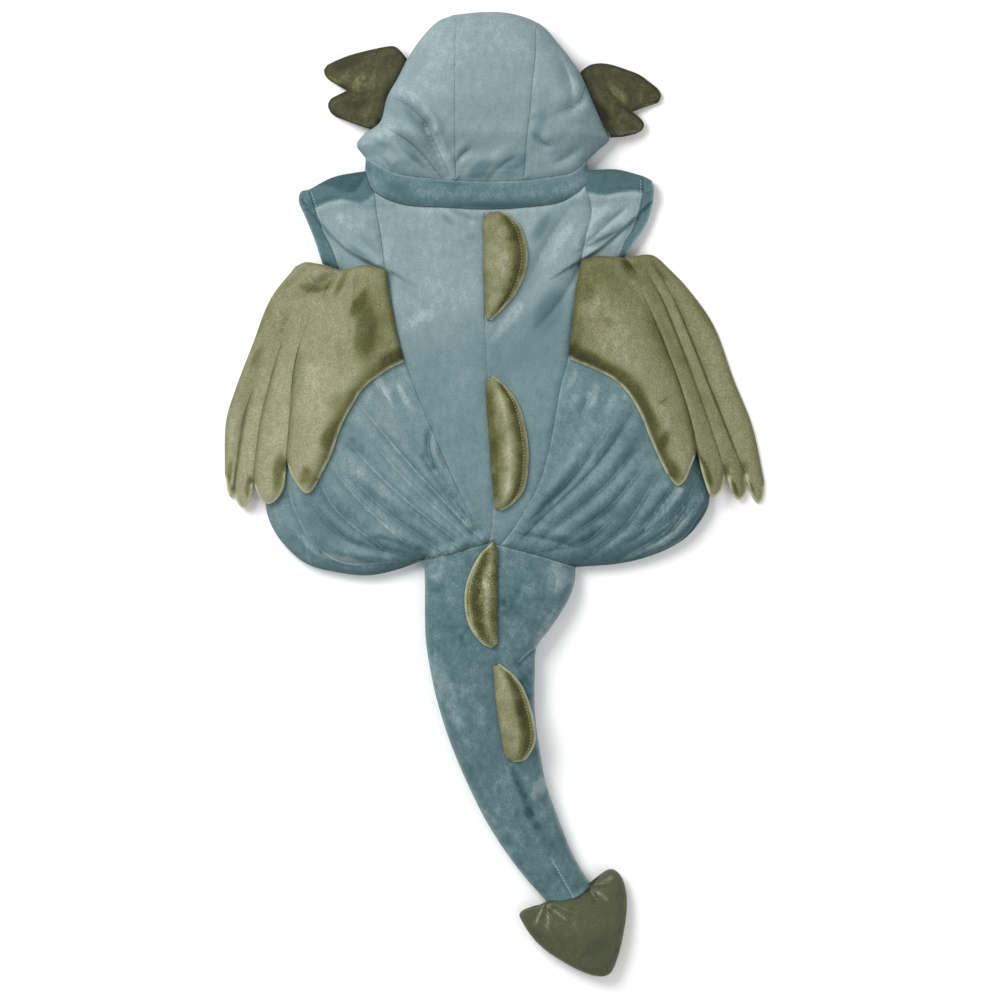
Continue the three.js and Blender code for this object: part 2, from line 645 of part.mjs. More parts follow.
// Top of the laid garment for what lies on it, which bridges the folds and dips below
function coverHeight(x, y, reach = 0) {
  if (!inside(x, y)) return 0;
  const { distance } = nearest(x, y, garmentOutline);
  const c = clamp(1 - distance / topRounding(x, y), 0, 1);
  const edge = edgeHeight(x, y);
  const round = Math.sqrt(1 - c * c);
  let height = loft(x, y, false);
  for (let k = 0; k < 8 && reach > 0; k += 1) {
    const angle = (k * Math.PI) / 4;
    height = Math.max(height, loft(x + reach * Math.cos(angle), y + reach * Math.sin(angle)));
  }
  return edge + (height - edge) * round;
}

// Closed body from two matching grids of points, the outer one facing out
function closedBody(outer, inner, ring) {
  const rows = outer.length;
  const columns = outer[0].length;
  const positions = [];
  [outer, inner].forEach((grid) => {
    grid.forEach((row) => positions.push(...row.flat()));
  });
  const faces = [];
  const id = (layer, i, j) => layer * rows * columns + i * columns + (j % columns);
  const quad = (a, b, c, d) => faces.push(a, b, c, a, c, d);
  const across = ring ? columns : columns - 1;
  for (let i = 0; i < rows - 1; i += 1) {
    for (let j = 0; j < across; j += 1) {
      quad(id(0, i, j), id(0, i + 1, j), id(0, i + 1, j + 1), id(0, i, j + 1));
      quad(id(1, i, j), id(1, i, j + 1), id(1, i + 1, j + 1), id(1, i + 1, j));
    }
  }
  for (let j = 0; j < across; j += 1) {
    quad(id(0, 0, j), id(0, 0, j + 1), id(1, 0, j + 1), id(1, 0, j));
    quad(id(0, rows - 1, j), id(1, rows - 1, j), id(1, rows - 1, j + 1), id(0, rows - 1, j + 1));
  }
  for (let i = 0; i < rows - 1 && !ring; i += 1) {
    quad(id(0, i, 0), id(1, i, 0), id(1, i + 1, 0), id(0, i + 1, 0));
    const end = columns - 1;
    quad(id(0, i, end), id(0, i + 1, end), id(1, i + 1, end), id(1, i, end));
  }
  const geometry = new THREE.BufferGeometry();
  geometry.setAttribute("position", new THREE.Float32BufferAttribute(positions, 3));
  geometry.setIndex(faces);
  return facingOut(geometry);
}

// The same body with its faces turned round if it came out inside out
function facingOut(geometry) {
  const p = geometry.getAttribute("position");
  const index = geometry.getIndex().array;
  let volume = 0;
  const a = new THREE.Vector3();
  const b = new THREE.Vector3();
  const c = new THREE.Vector3();
  for (let i = 0; i < index.length; i += 3) {
    a.fromBufferAttribute(p, index[i]);
    b.fromBufferAttribute(p, index[i + 1]);
    c.fromBufferAttribute(p, index[i + 2]);
    volume += a.dot(b.clone().cross(c));
  }
  for (let i = 0; i < index.length && volume < 0; i += 3) {
    const second = index[i + 1];
    index[i + 1] = index[i + 2];
    index[i + 2] = second;
  }
  geometry.computeVertexNormals();
  return geometry;
}

// Draws the border of a plan grid in by half the seam gap
function inset(grid, ring) {
  const rows = grid.length;
  const columns = grid[0].length;
  const towards = (p, q) => {
    const gap = Math.hypot(q[0] - p[0], q[1] - p[1]);
    return blend(p, q, gap > 0 ? Math.min(0.45, SEAM_GAP / 2 / gap) : 0);
  };
  const result = grid.map((row) => row.map((p) => [...p]));
  for (let j = 0; j < columns; j += 1) {
    result[0][j] = towards(grid[0][j], grid[1][j]);
    result[rows - 1][j] = towards(grid[rows - 1][j], grid[rows - 2][j]);
  }
  for (let i = 0; i < rows && !ring; i += 1) {
    result[i][0] = towards(result[i][0], result[i][1]);
    result[i][columns - 1] = towards(result[i][columns - 1], result[i][columns - 2]);
  }
  return result;
}

const costume = new THREE.Group();

function add(name, geometry, color, roughness = 0.95) {
  const material = new THREE.MeshStandardMaterial({ color, roughness, metalness: 0 });
  const mesh = new THREE.Mesh(geometry, material);
  mesh.name = name;
  costume.add(mesh);
}

// Cloth panel: layers are plan grids side by side, each on the upper or the under sheet
function clothPanel(name, layers, color, ring = false) {
  const rows = layers[0].grid.length;
  let plan = Array.from({ length: rows }, () => []);
  const upper = [];
  layers.forEach((layer, k) => {
    const first = k === 0 ? 0 : 1;
    const last = layer.grid[0].length - (ring && k === layers.length - 1 ? 1 : 0);
    for (let j = first; j < last; j += 1) upper.push(layer.upper);
    layer.grid.forEach((row, i) => plan[i].push(...row.slice(first, last)));
  });
  plan = inset(plan, ring);
  const outer = [];
  const inner = [];
  plan.forEach((row) => {
    const found = row.map(([x, y], j) => ({ x, y, ...sheet(x, y, upper[j]) }));
    outer.push(found.map((p) => [p.x, p.y, p.z]));
    inner.push(
      found.map((p) => [p.x - WALL * p.normal.x, p.y - WALL * p.normal.y, p.z - WALL * p.normal.z]),
    );
  });
  add(name, closedBody(outer, inner, ring), color);
}

// Stuffed piece: a plan grid with its top and its underside
function stuffedPiece(name, plan, top, bottom, color) {
  const upper = plan.map((row, i) => row.map(([x, y], j) => [x, y, top(x, y, i, j)]));
  const lower = plan.map((row, i) => row.map(([x, y], j) => [x, y, bottom(x, y, i, j)]));
  add(name, closedBody(upper, lower, false), color);
}

// Hood: two sides and the strip between them, turned under round the face opening
const FACE = { x: -8, y: 424, halfWidth: 62, halfHeight: 66, stripAngle: 0.52 };
const UNDER_WAYS = [0, 0.08, 0.25, 0.55, 1];

function facePoint(angle) {
  return [FACE.x + FACE.halfWidth * Math.cos(angle), FACE.y + FACE.halfHeight * Math.sin(angle)];
}

const raised = ([x, y], by) => [x, y + by];

function hoodSide(name, table, side) {
  const rows = 15;
  const columns = 8;
  const seam = run(column(table, "seam"), rows);
  const edge = run(column(table, "edge"), rows);
  const ways = shares(columns);
  const collarSeam = column(COLLAR, "hood");
  const onCollar = (from, to) => (t) => curveAt(collarSeam, mix(from, to, t));
  const neck = side < 0 ? onCollar(3, 0) : onCollar(5, 8);
  const chin = side < 0 ? onCollar(0, 4) : onCollar(8, 4);
  const start = ways.map(neck);
  const end = ways.map((t) => blend(seam[rows], edge[rows], t));
  const under = edge.map((p, i) => {
    const angle = side > 0 ? mix(-Math.PI / 2, Math.PI / 2 - FACE.stripAngle, i / rows) : 0;
    const mirrored = mix(-Math.PI / 2, -Math.PI * 1.5 + FACE.stripAngle, i / rows);
    const q = facePoint(side > 0 ? angle : mirrored);
    if (i === 0) return UNDER_WAYS.map((t) => raised(chin(t), 0.5 * Math.sin(Math.PI * t)));
    return UNDER_WAYS.map((t) => blend(p, q, t));
  });
  clothPanel(name, [
    { grid: patch(seam, edge, start, end), upper: true },
    { grid: under, upper: false },
  ], PALE_BLUE);
}
hoodSide("hood_side_left", HOOD_LEFT, -1);
hoodSide("hood_side_right", HOOD_RIGHT, 1);

function hoodCentre() {
  const across = 6;
  const rows = 15;
  const crownPoint = (table) => column(table, "edge").slice(-1);
  const left = run(column(HOOD_LEFT, "seam"), rows).concat(crownPoint(HOOD_LEFT));
  const right = run(column(HOOD_RIGHT, "seam"), rows).concat(crownPoint(HOOD_RIGHT));
  const neck = run(column(COLLAR, "hood"), across, 3, 5);
  const crown = run(points(CROWN_EDGE), across);
  const top = patch(left, right, neck, crown);
  const along = crown.map((_, j) => top.map((row) => row[j]));
  const under = crown.map((p, j) => {
    const angle = Math.PI / 2 + mix(FACE.stripAngle, -FACE.stripAngle, j / across);
    return UNDER_WAYS.map((t) => blend(p, facePoint(angle), t));
  });
  clothPanel("hood_centre", [
    { grid: along, upper: true },
    { grid: under, upper: false },
  ], PALE_BLUE);
}
hoodCentre();

// Collar band, a ring through the upper and the under layer
function ringLayers(grid) {
  return [
    { grid, upper: true },
    { grid: grid.map((row) => [...row].reverse()), upper: false },
  ];
}

function collarBand() {
  const across = 24;
  const hood = run(column(COLLAR, "hood"), across);
  const body = run(column(COLLAR, "body"), across);
  const grid = [0, 0.25, 0.75, 1].map((v) => hood.map((p, j) => blend(p, body[j], v)));
  clothPanel("collar", ringLayers(grid), TEAL_BLUE, true);
}
collarBand();

// Armhole seam below the collar, and the whole way round the top of a sleeve
const armhole = (table) => run(column(table, "arm").slice(2, 6), 6);
function sleeveTop(table, neckFrom, neckTo) {
  const arm = column(table, "arm");
  const neck = run(column(COLLAR, "body"), 3, neckFrom, neckTo);
  return join(neck, armhole(table), straight(arm[5], arm[6], 2));
}
function roundSleeve(table, name) {
  const whole = column(table, name);
  return join(run(whole, 3, 0, 2), run(whole, 6, 2, 5), run(whole, 2, 5, 6));
}

// Back panels
function backCentre(name, arm, body, neckTo, tailTo) {
  const outer = join(armhole(arm), run(column(body, "seam"), 13));
  const middle = run(points(CENTRE_SEAM), 19);
  const neck = run(column(COLLAR, "body"), 9, 4, neckTo);
  const tail = run(points(TAIL_SEAM), 9, 3, tailTo);
  clothPanel(name, [{ grid: patch(middle, outer, neck, tail), upper: true }], PALE_BLUE);
}
backCentre("back_centre_left", SLEEVE_LEFT, BODY_LEFT, 1, 2);
backCentre("back_centre_right", SLEEVE_RIGHT, BODY_RIGHT, 7, 4);

// How far the back turns under its outer edge: a little at the side, more at the leg
const turnUnder = (t) => mix(SIDE_SEAM_TUCK, LEG_HEM_TURN, ease((t - 6) / 2.5));

function backSide(name, body, outline, tailFrom, tailTo) {
  const rows = 26;
  const seam = run(column(body, "seam"), rows);
  const edge = run(column(body, "edge"), rows);
  const ways = shares(14);
  const start = ways.map((t) => blend(seam[0], edge[0], t));
  const end = ways.map((t) => curveAt(points(TAIL_SEAM), mix(tailFrom, tailTo, t)));
  const grid = patch(seam, edge, start, end);
  const turned = edge.map((p, i) => {
    if (i === rows) return curveAt(points(TAIL_SEAM), mix(tailTo, tailFrom, LEG_HEM_TURN / 66));
    return drawnIn(p, outline, turnUnder((i / rows) * 13));
  });
  const under = edge.map((p, i) => [0, 0.15, 0.45, 1].map((t) => blend(p, turned[i], t)));
  clothPanel(name, [
    { grid, upper: true },
    { grid: under, upper: false },
  ], TEAL_BLUE);
  return turned;
}

// A point moved in from an outline by a given distance, square to it
function drawnIn([x, y], outline, distance) {
  const near = nearest(x, y, [outline]);
  const length = Math.hypot(near.alongX, near.alongY);
  const step = [(-near.alongY * distance) / length, (near.alongX * distance) / length];
  const sign = inside(x + step[0] * 0.3, y + step[1] * 0.3) ? 1 : -1;
  return [x + sign * step[0], y + sign * step[1]];
}
const legLeft = backSide("back_side_left", BODY_LEFT, outlineLeft[2], 2, 0);
const legRight = backSide("back_side_right", BODY_RIGHT, outlineRight[2], 4, 6);

// Front panels, on the under layer, down to the leg openings
function frontPanel(name, arm, side, neckTo, turned) {
  const sideSeam = turned.slice(0, 14);
  const corner = column(arm, "arm")[6];
  const underarm = straight(column(arm, "arm")[5], corner, 2);
  underarm[2] = sideSeam[0];
  const outer = join(armhole(arm), underarm, sideSeam);
  const count = outer.length - 1;
  const middle = straight([-10, 312], [-4, -51.5], count);
  const neck = run(column(COLLAR, "body"), 6, 4, neckTo).map(([x, y]) => [x, y - 1]);
  neck[6] = outer[0];
  const leg = [
    middle[count],
    [-4 + side * 26, -57.5],
    [-4 + side * 62, -36],
    [-4 + side * 120, -10],
    [-4 + side * 180, 2],
    outer[count],
  ];
  clothPanel(name, [{ grid: patch(middle, outer, neck, run(leg, 6)), upper: false }], TEAL_BLUE);
}
frontPanel("front_left", SLEEVE_LEFT, -1, 1, legLeft);
frontPanel("front_right", SLEEVE_RIGHT, 1, 7, legRight);

// Sleeves and their hem bands, rings through both layers
function sleeve(side, table, neckFrom, neckTo) {
  const arm = sleeveTop(table, neckFrom, neckTo);
  const mid = roundSleeve(table, "mid");
  const seam = roundSleeve(table, "seam");
  const hem = roundSleeve(table, "hem");
  const lines = arm.map((p, j) => run([p, mid[j], seam[j]], 5));
  const grid = lines[0].map((_, i) => lines.map((line) => line[i]));
  clothPanel("sleeve_" + side, ringLayers(grid), PALE_BLUE, true);
  const band = [0.02, 0.5, 1].map((v) => seam.map((p, j) => blend(p, hem[j], v)));
  clothPanel("sleeve_hem_" + side, ringLayers(band), TEAL_BLUE, true);
}
sleeve("left", SLEEVE_LEFT, 0, 1);
sleeve("right", SLEEVE_RIGHT, 8, 7);

// Rounded edge of a stuffed piece: 0 at its border, 1 once the given distance in
function rounded(x, y, border, distance) {
  const c = clamp(1 - nearest(x, y, border).distance / distance, 0, 1);
  return Math.sqrt(1 - c * c);
}
const borderOf = (plan) => [
  plan[0],
  plan[plan.length - 1],
  plan.map((row) => row[0]),
  plan.map((row) => row[row.length - 1]),
];

// Wings: four overlapping padded lobes, sewn into the princess seam
function wing(name, table, lobes) {
  const rows = 13;
  const steps = 4;
  const rails = ["in", "a", "b", "c", "out"].map((key) => run(column(table, key), rows));
  const plan = Array.from({ length: rows + 1 }, () => []);
  const across = [];
  ["first", "second", "third", "outer"].forEach((key, k) => {
    const start = straight(rails[k][0], rails[k + 1][0], steps);
    const grid = patch(rails[k], rails[k + 1], start, run(points(lobes[key]), steps));
    grid.forEach((row, i) => {
      plan[i].push(...row.map((p, j) => (k > 0 && j === 0 ? blend(p, row[1], 0.12) : p)));
    });
    for (let j = 0; j <= steps; j += 1) across.push(j / steps);
  });
  const border = borderOf(plan);
  const under = (x, y) => {
    const signed = nearest(x, y, garmentOutline).distance * (inside(x, y) ? 1 : -1);
    const hung = loft(x, y, false) * ease((signed + 50) / 72);
    return Math.max(coverHeight(x, y, 7), hung) + 1.3 * ease((signed + 42) / 30);
  };
  const top = (x, y, i, j) => {
    const t = across[j];
    const rise = mix(WING_PADDING - WING_STEP, WING_PADDING, ease(t * 1.5)) + 2 * Math.sin(Math.PI * t);
    return under(x, y) + 1 + rise * rounded(x, y, border, 8);
  };
  stuffedPiece(name, plan, top, under, OLIVE);
}
wing("wing_left", WING_LEFT, WING_LEFT_LOBES);
wing("wing_right", WING_RIGHT, WING_RIGHT_LOBES);

// Tail, stuffed round, with its flat side on the floor
const tailRow = (y, name) => {
  const mid = TAIL.map((row) => (row.leftY + row.rightY) / 2);
  let i = 0;
  while (i < mid.length - 2 && y < mid[i + 1]) i += 1;
  return mix(TAIL[i][name], TAIL[i + 1][name], clamp((mid[i] - y) / (mid[i] - mid[i + 1]), 0, 1));
};
const tailEdges = [run(column(TAIL, "left"), 33), run(column(TAIL, "right"), 33)];

function tailHeight(x, y, least = 0) {
  const height = tailRow(y, "height");
  const away = Math.max(least, nearest(x, y, tailEdges).distance);
  const c = clamp(1 - away / tailRow(y, "rounding"), 0, 1);
  return height * (0.44 + 0.56 * Math.sqrt(1 - c * c));
}

function tail() {
  const start = run(points(TAIL_SEAM), 12).map(([x, y]) => {
    const corner = ease((-42 - x) / 30);
    return [x + 2.5 * corner, y - 0.35 - 2.6 * corner];
  });
  const ways = start.map((p, j) => (1 - Math.cos((Math.PI * j) / 12)) / 2);
  const end = ways.map((t) => curveAt(points(TAIL_CUFF), t * 3));
  const left = run(column(TAIL, "left"), 24);
  const right = run(column(TAIL, "right"), 24);
  left[0] = start[0];
  right[0] = start[12];
  const plan = inset(patch(left, right, start, end), false);
  const bottom = (x, y) => {
    const c = clamp(1 - nearest(x, y, tailEdges).distance / 20, 0, 1);
    return tailRow(y, "height") * 0.4 * (1 - Math.sqrt(1 - c * c));
  };
  stuffedPiece("tail", plan, (x, y) => tailHeight(x, y), bottom, TEAL_BLUE);
}
tail();

// Arrow tip of the tail
function tailTip() {
  const ways = Array.from({ length: 9 }, (_, j) => (1 - Math.cos((Math.PI * j) / 8)) / 2);
  const rows = 14;
  const left = run(column(TIP, "left"), rows);
  const right = run(column(TIP, "right"), rows);
  const cuff = run(points(TAIL_CUFF), 60).map(([x, y]) => [x + 0.35, y - 0.75]);
  const start = ways.map((t) => curveAt(cuff, t * 60));
  left[0] = start[0];
  right[0] = start[8];
  const end = ways.map((t) => curveAt(points(TIP_POINT), t * 3));
  const plan = patch(left, right, start, end);
  const border = [left, right, end];
  const top = (x, y) => {
    const height = mix(31, 37, ease((-y - 440) / 40));
    return height * (0.46 + 0.54 * rounded(x, y, border, 36));
  };
  const bottom = (x, y) => 14 * (1 - rounded(x, y, border, 18));
  stuffedPiece("tail_tip", plan, top, bottom, DARK_OLIVE);
}
tailTip();

// Ears, each with its base on the edge of the hood
function ear(name, table, shape) {
  const rows = 10;
  const columns = 6;
  const hood = run(column(table, "edge"), rows, shape.toStation, shape.fromStation);
  const sideways = Math.sign(shape.outer[0].x);
  const base = hood.map(([x, y]) => [x + 0.6 * sideways, y]);
  const outer = run(points(shape.outer), rows);
  const upper = run([base[0], ...points(shape.upper).slice(1)], columns);
  const lower = run([base[rows], ...points(shape.lower).slice(1)], columns);
  const plan = patch(base, outer, upper, lower);
  const border = [upper, lower, outer];
  const middle = (x, y) => {
    const reach = nearest(x, y, [base]).distance;
    return mix(22, 6, ease(reach / 60));
  };
  const half = (x, y) => 0.5 + (EAR_PADDING / 2 - 0.5) * rounded(x, y, border, 9);
  stuffedPiece(
    name,
    plan,
    (x, y) => middle(x, y) + half(x, y),
    (x, y) => middle(x, y) - half(x, y),
    DARK_OLIVE,
  );
}
ear("ear_left", HOOD_LEFT, EAR_LEFT);
ear("ear_right", HOOD_RIGHT, EAR_RIGHT);

// Spines, lying over on the back and the tail
SPINES.forEach((table, k) => {
  const rows = 11;
  const base = run(column(table, "base"), rows);
  const bulge = run(column(table, "bulge"), rows);
  const plan = between(base, bulge, [0, 0.12, 0.3, 0.5, 0.7, 0.88, 1]);
  const border = borderOf(plan);
  const under = (x, y) => {
    const body = y > -60 ? coverHeight(x, y) : 0;
    const tailTop = y < -45 ? tailHeight(x, y, 14) : 0;
    return Math.max(body, tailTop) + (k === 2 ? 1.6 : 0.5);
  };
  const top = (x, y) => under(x, y) + 1 + (SPINE_PADDING - 1) * rounded(x, y, border, 20);
  stuffedPiece("spine_" + (k + 1), plan, top, under, OLIVE);
});

export default costume;
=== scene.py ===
"""A toddler's velour dragon costume, laid face down: panels, padded wings, ears, spines and tail."""
import math

import bpy
import numpy as np
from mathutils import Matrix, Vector


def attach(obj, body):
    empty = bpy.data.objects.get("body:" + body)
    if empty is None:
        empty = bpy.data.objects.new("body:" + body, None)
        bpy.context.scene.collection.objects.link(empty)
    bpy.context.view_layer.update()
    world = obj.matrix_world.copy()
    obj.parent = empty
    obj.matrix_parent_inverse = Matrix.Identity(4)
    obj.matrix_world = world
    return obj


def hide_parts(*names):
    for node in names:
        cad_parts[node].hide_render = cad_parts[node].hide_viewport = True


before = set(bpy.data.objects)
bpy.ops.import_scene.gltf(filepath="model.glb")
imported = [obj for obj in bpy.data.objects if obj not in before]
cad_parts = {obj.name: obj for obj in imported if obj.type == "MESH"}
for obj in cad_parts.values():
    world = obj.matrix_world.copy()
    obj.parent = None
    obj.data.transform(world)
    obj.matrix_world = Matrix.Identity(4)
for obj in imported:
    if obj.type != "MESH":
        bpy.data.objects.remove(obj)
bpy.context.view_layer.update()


# Driving sizes, in millimetres
MM = 0.001
WALL = 2.0
SEAM_GAP = 0.06
SEAM_WIDTH = 4.0
SIDE_SEAM_TUCK = 7
LEG_HEM_TURN = 27
SLEEVE_LOFT = 19
WING_PADDING = 9
WING_STEP = 4.4
WING_ROUNDING = 9
SPINE_PADDING = 15
SPINE_ROUNDING = 20
EAR_PADDING = 11
EAR_ROUNDING = 11

# The turned edge of the cloth: how high it lies, and how far the cloth rounds above and below it
EDGE_HEIGHT = {"body": 12, "hood": 24, "sleeve": 8}
ROUNDING_ABOVE = {"body": 44, "hood": 58, "sleeve": 14}
ROUNDING_BELOW = {"body": 10, "hood": 18, "sleeve": 7}


def table(columns, *rows):
    """Named columns, with a row for each station."""
    values = np.array(rows, float)
    return {name: values[:, i] for i, name in enumerate(columns.split())}


def line(stations, name=""):
    """The points of one line of a table."""
    prefix = name + "_" if name else ""
    return np.column_stack([stations[prefix + "x"], stations[prefix + "y"]])


# How high the garment lies, from the top of the hood down to the tail seam
LOFT = table(
    "y height",
    (540, 60), (440, 61), (400, 55), (370, 45), (346, 38), (330, 38), (313, 33),
    (250, 31), (150, 30), (60, 34), (0, 39), (-40, 39), (-90, 37),
)

# Hood: the outer edge and the panel seam on each side, from the neck to the crown
HOOD_LEFT = table(
    "edge_x edge_y seam_x seam_y",
    (-141, 370, -42, 345),
    (-151, 384, -42, 362),
    (-142, 397, -43, 380),
    (-125, 410, -43, 400),
    (-118, 436, -43, 425),
    (-106, 458, -43, 450),
    (-95, 479, -43, 475),
    (-81, 500, -43, 495),
    (-63, 519, -42, 511),
    (-45, 527, -41, 518),
)
HOOD_RIGHT = table(
    "edge_x edge_y seam_x seam_y",
    (102, 366, 32, 345),
    (114, 378, 34, 362),
    (127, 391, 35, 380),
    (121, 406, 37, 400),
    (109, 432, 40, 425),
    (98, 457, 42, 450),
    (84, 479, 45, 475),
    (68, 499, 46, 491),
    (58, 511, 46, 503),
    (49, 518, 46, 510),
)
CROWN_EDGE = table("x y", (-45, 527), (-18, 530), (10, 530), (33, 525), (49, 518))

# Collar band: its seam to the hood and its seam to the body, left to right
COLLAR = table(
    "hood_x hood_y body_x body_y",
    (-141, 370, -142, 356),
    (-118, 357, -131, 332),
    (-96, 350, -99, 318),
    (-42, 345, -55, 315),
    (-11, 344, -10, 313),
    (32, 345, 33, 315),
    (78, 351, 74, 321),
    (92, 357, 100, 339),
    (102, 366, 104, 357),
)

# Seam down the middle of the back
CENTRE_SEAM = table(
    "x y",
    (-10, 313), (-10, 250), (-10, 190), (-7, 130), (-3, 60), (0, -14), (-4, -53),
)

# Sleeves: armhole, mid sleeve, hem seam and hem edge, from the shoulder to the underarm
SLEEVE_COLUMNS = "arm_x arm_y mid_x mid_y seam_x seam_y hem_x hem_y"
SLEEVE_LEFT = table(
    SLEEVE_COLUMNS,
    (-142, 356, -176, 350, -204, 336, -213, 334),
    (-137, 343, -172, 337, -202, 328, -215, 327),
    (-131, 332, -168, 328, -199, 320, -214, 319),
    (-129, 311, -163, 309, -194, 304, -209, 308),
    (-124, 282, -157, 286, -188, 288, -203, 294),
    (-120, 249, -150, 260, -179, 271, -196, 276),
    (-154, 228, -162, 238, -171, 249, -189, 254),
)
SLEEVE_RIGHT = table(
    SLEEVE_COLUMNS,
    (104, 357, 135, 358, 164, 351, 174, 346),
    (102, 347, 136, 345, 164, 337, 176, 337),
    (100, 339, 136, 332, 163, 325, 175, 324),
    (107, 312, 133, 309, 158, 305, 172, 309),
    (101, 284, 127, 288, 152, 290, 166, 295),
    (96, 259, 121, 268, 144, 277, 157, 281),
    (124, 236, 130, 245, 136, 256, 145, 263),
)

# Body sides: the princess seam and the outer edge, from the underarm to the tail seam
BODY_LEFT = table(
    "seam_x seam_y edge_x edge_y",
    (-120, 249, -154, 228),
    (-113, 214, -174, 192),
    (-107, 177, -193, 152),
    (-98, 147, -212, 110),
    (-84, 108, -231, 67),
    (-68, 70, -246, 31),
    (-57, 45, -252, 0),
    (-46, 20, -248, -27),
    (-39, 4, -233, -53),
    (-33, -10, -207, -76),
    (-28, -22, -171, -86),
    (-24, -32, -137, -89),
    (-19, -44, -104, -82),
    (-14, -56, -77, -71),
)
BODY_RIGHT = table(
    "seam_x seam_y edge_x edge_y",
    (96, 259, 124, 236),
    (91, 230, 146, 203),
    (88, 204, 160, 174),
    (81, 149, 181, 131),
    (73, 118, 200, 97),
    (68, 89, 216, 65),
    (61, 52, 230, 36),
    (56, 32, 237, 8),
    (50, 14, 236, -12),
    (43, -1, 226, -31),
    (36, -14, 208, -50),
    (28, -27, 177, -66),
    (19, -41, 138, -76),
    (7, -56, 90, -80),
)

# Folds: each a crease through three points, with its share of the depth at its two ends
# and how light the painted highlight along it is, or, below 0, how dark its painted shade is
FOLD_COLUMNS = "x1 y1 x2 y2 x3 y3 width depth start end light"
GATHERS = table(
    FOLD_COLUMNS,
    (-150, 100, -92, 31, -23, -42, 6, 4.5, 0.2, 1, 1),
    (-176, 38, -124, -15, -66, -58, 9, 5.5, 0.2, 0.9, 0.6),
    (-99, -14, -76, -32, -47, -54, 6, 4.5, 0, 1, 0.3),
    (-191, 9, -169, -23, -120, -62, 7, 5, 0.2, 0.8, 0.9),
    (-207, -2, -163, -49, -79, -71, 7, 5.5, 0.2, 0.7, 0.6),
    (-227, 12, -220, -16, -203, -52, 6, 4, 0.2, 0.3, 0.7),
    (-200, -56, -163, -77, -106, -75, 6, 3.5, 0.1, 0.3, 1),
    (-136, -45, -112, -51, -82, -63, 5, 3.5, 0, 0.7, 0.3),
    (-96, 66, -64, 22, -32, -28, 6, 3, 0, 1, 0.4),
    (-69, 72, -72, 53, -66, 28, 4, 4, 0.5, 0.6, -1),
    (-66, 28, -43, -6, -15, -40, 6, 4, 0.6, 0.6, 0.5),
    (-126, 120, -120, 110, -112, 98, 6, 2.5, 0, 0, 0.8),
    (155, 94, 112, 31, 45, -34, 7, 3.6, 0.3, 0.8, -0.5),
    (133, -24, 102, -52, 65, -60, 6, 3.2, 0.2, 0.7, 1),
    (180, 21, 147, -32, 109, -64, 8, 3.6, 0.3, 0.7, 0.8),
    (197, 9, 181, -14, 153, -52, 6, 3.2, 0.3, 0.5, 0.8),
    (224, 13, 194, -37, 150, -67, 7, 4.2, 0.4, 0.5, 1),
    (229, 0, 208, -33, 178, -59, 5, 3, 0.4, 0.3, 0.9),
    (216, -3, 195, -25, 165, -47, 5, 3, 0.3, 0.4, 0.8),
    (116, 60, 88, 18, 54, -14, 7, 4, 0, 0.7, 0.3),
    (86, -56, 66, -51, 36, -44, 5, 3, 0.3, 0.6, 0.3),
    (109, 110, 101, 96, 94, 80, 6, 2.5, 0, 0, 0.5),
    (140, 92, 100, 38, 52, -22, 5, 2.0, 0, 0.6, 0.6),
    (234, -12, 207, -49, 168, -69, 4, 2.2, 0.4, 0.4, 0.9),
    (222, -8, 192, -42, 146, -71, 4, 2.4, 0.4, 0.4, 0.8),
    (204, -4, 172, -36, 122, -70, 4, 2.2, 0.3, 0.4, 0.7),
    (210, 22, 184, -16, 150, -42, 5, 2.4, 0.3, 0.3, 0.5),
    (172, 40, 128, -14, 76, -52, 6, 3.0, 0, 0.6, 0.8),
    (168, 66, 122, 8, 60, -42, 6, 2.6, 0, 0.6, 0.5),
    (-166, 62, -112, 6, -44, -50, 6, 2.6, 0, 0.8, 0.8),
    (-140, 64, -96, 14, -34, -44, 5, 2.2, 0, 0.8, 0.6),
    (-190, 44, -148, -8, -92, -60, 6, 2.6, 0, 0.7, 0.6),
)
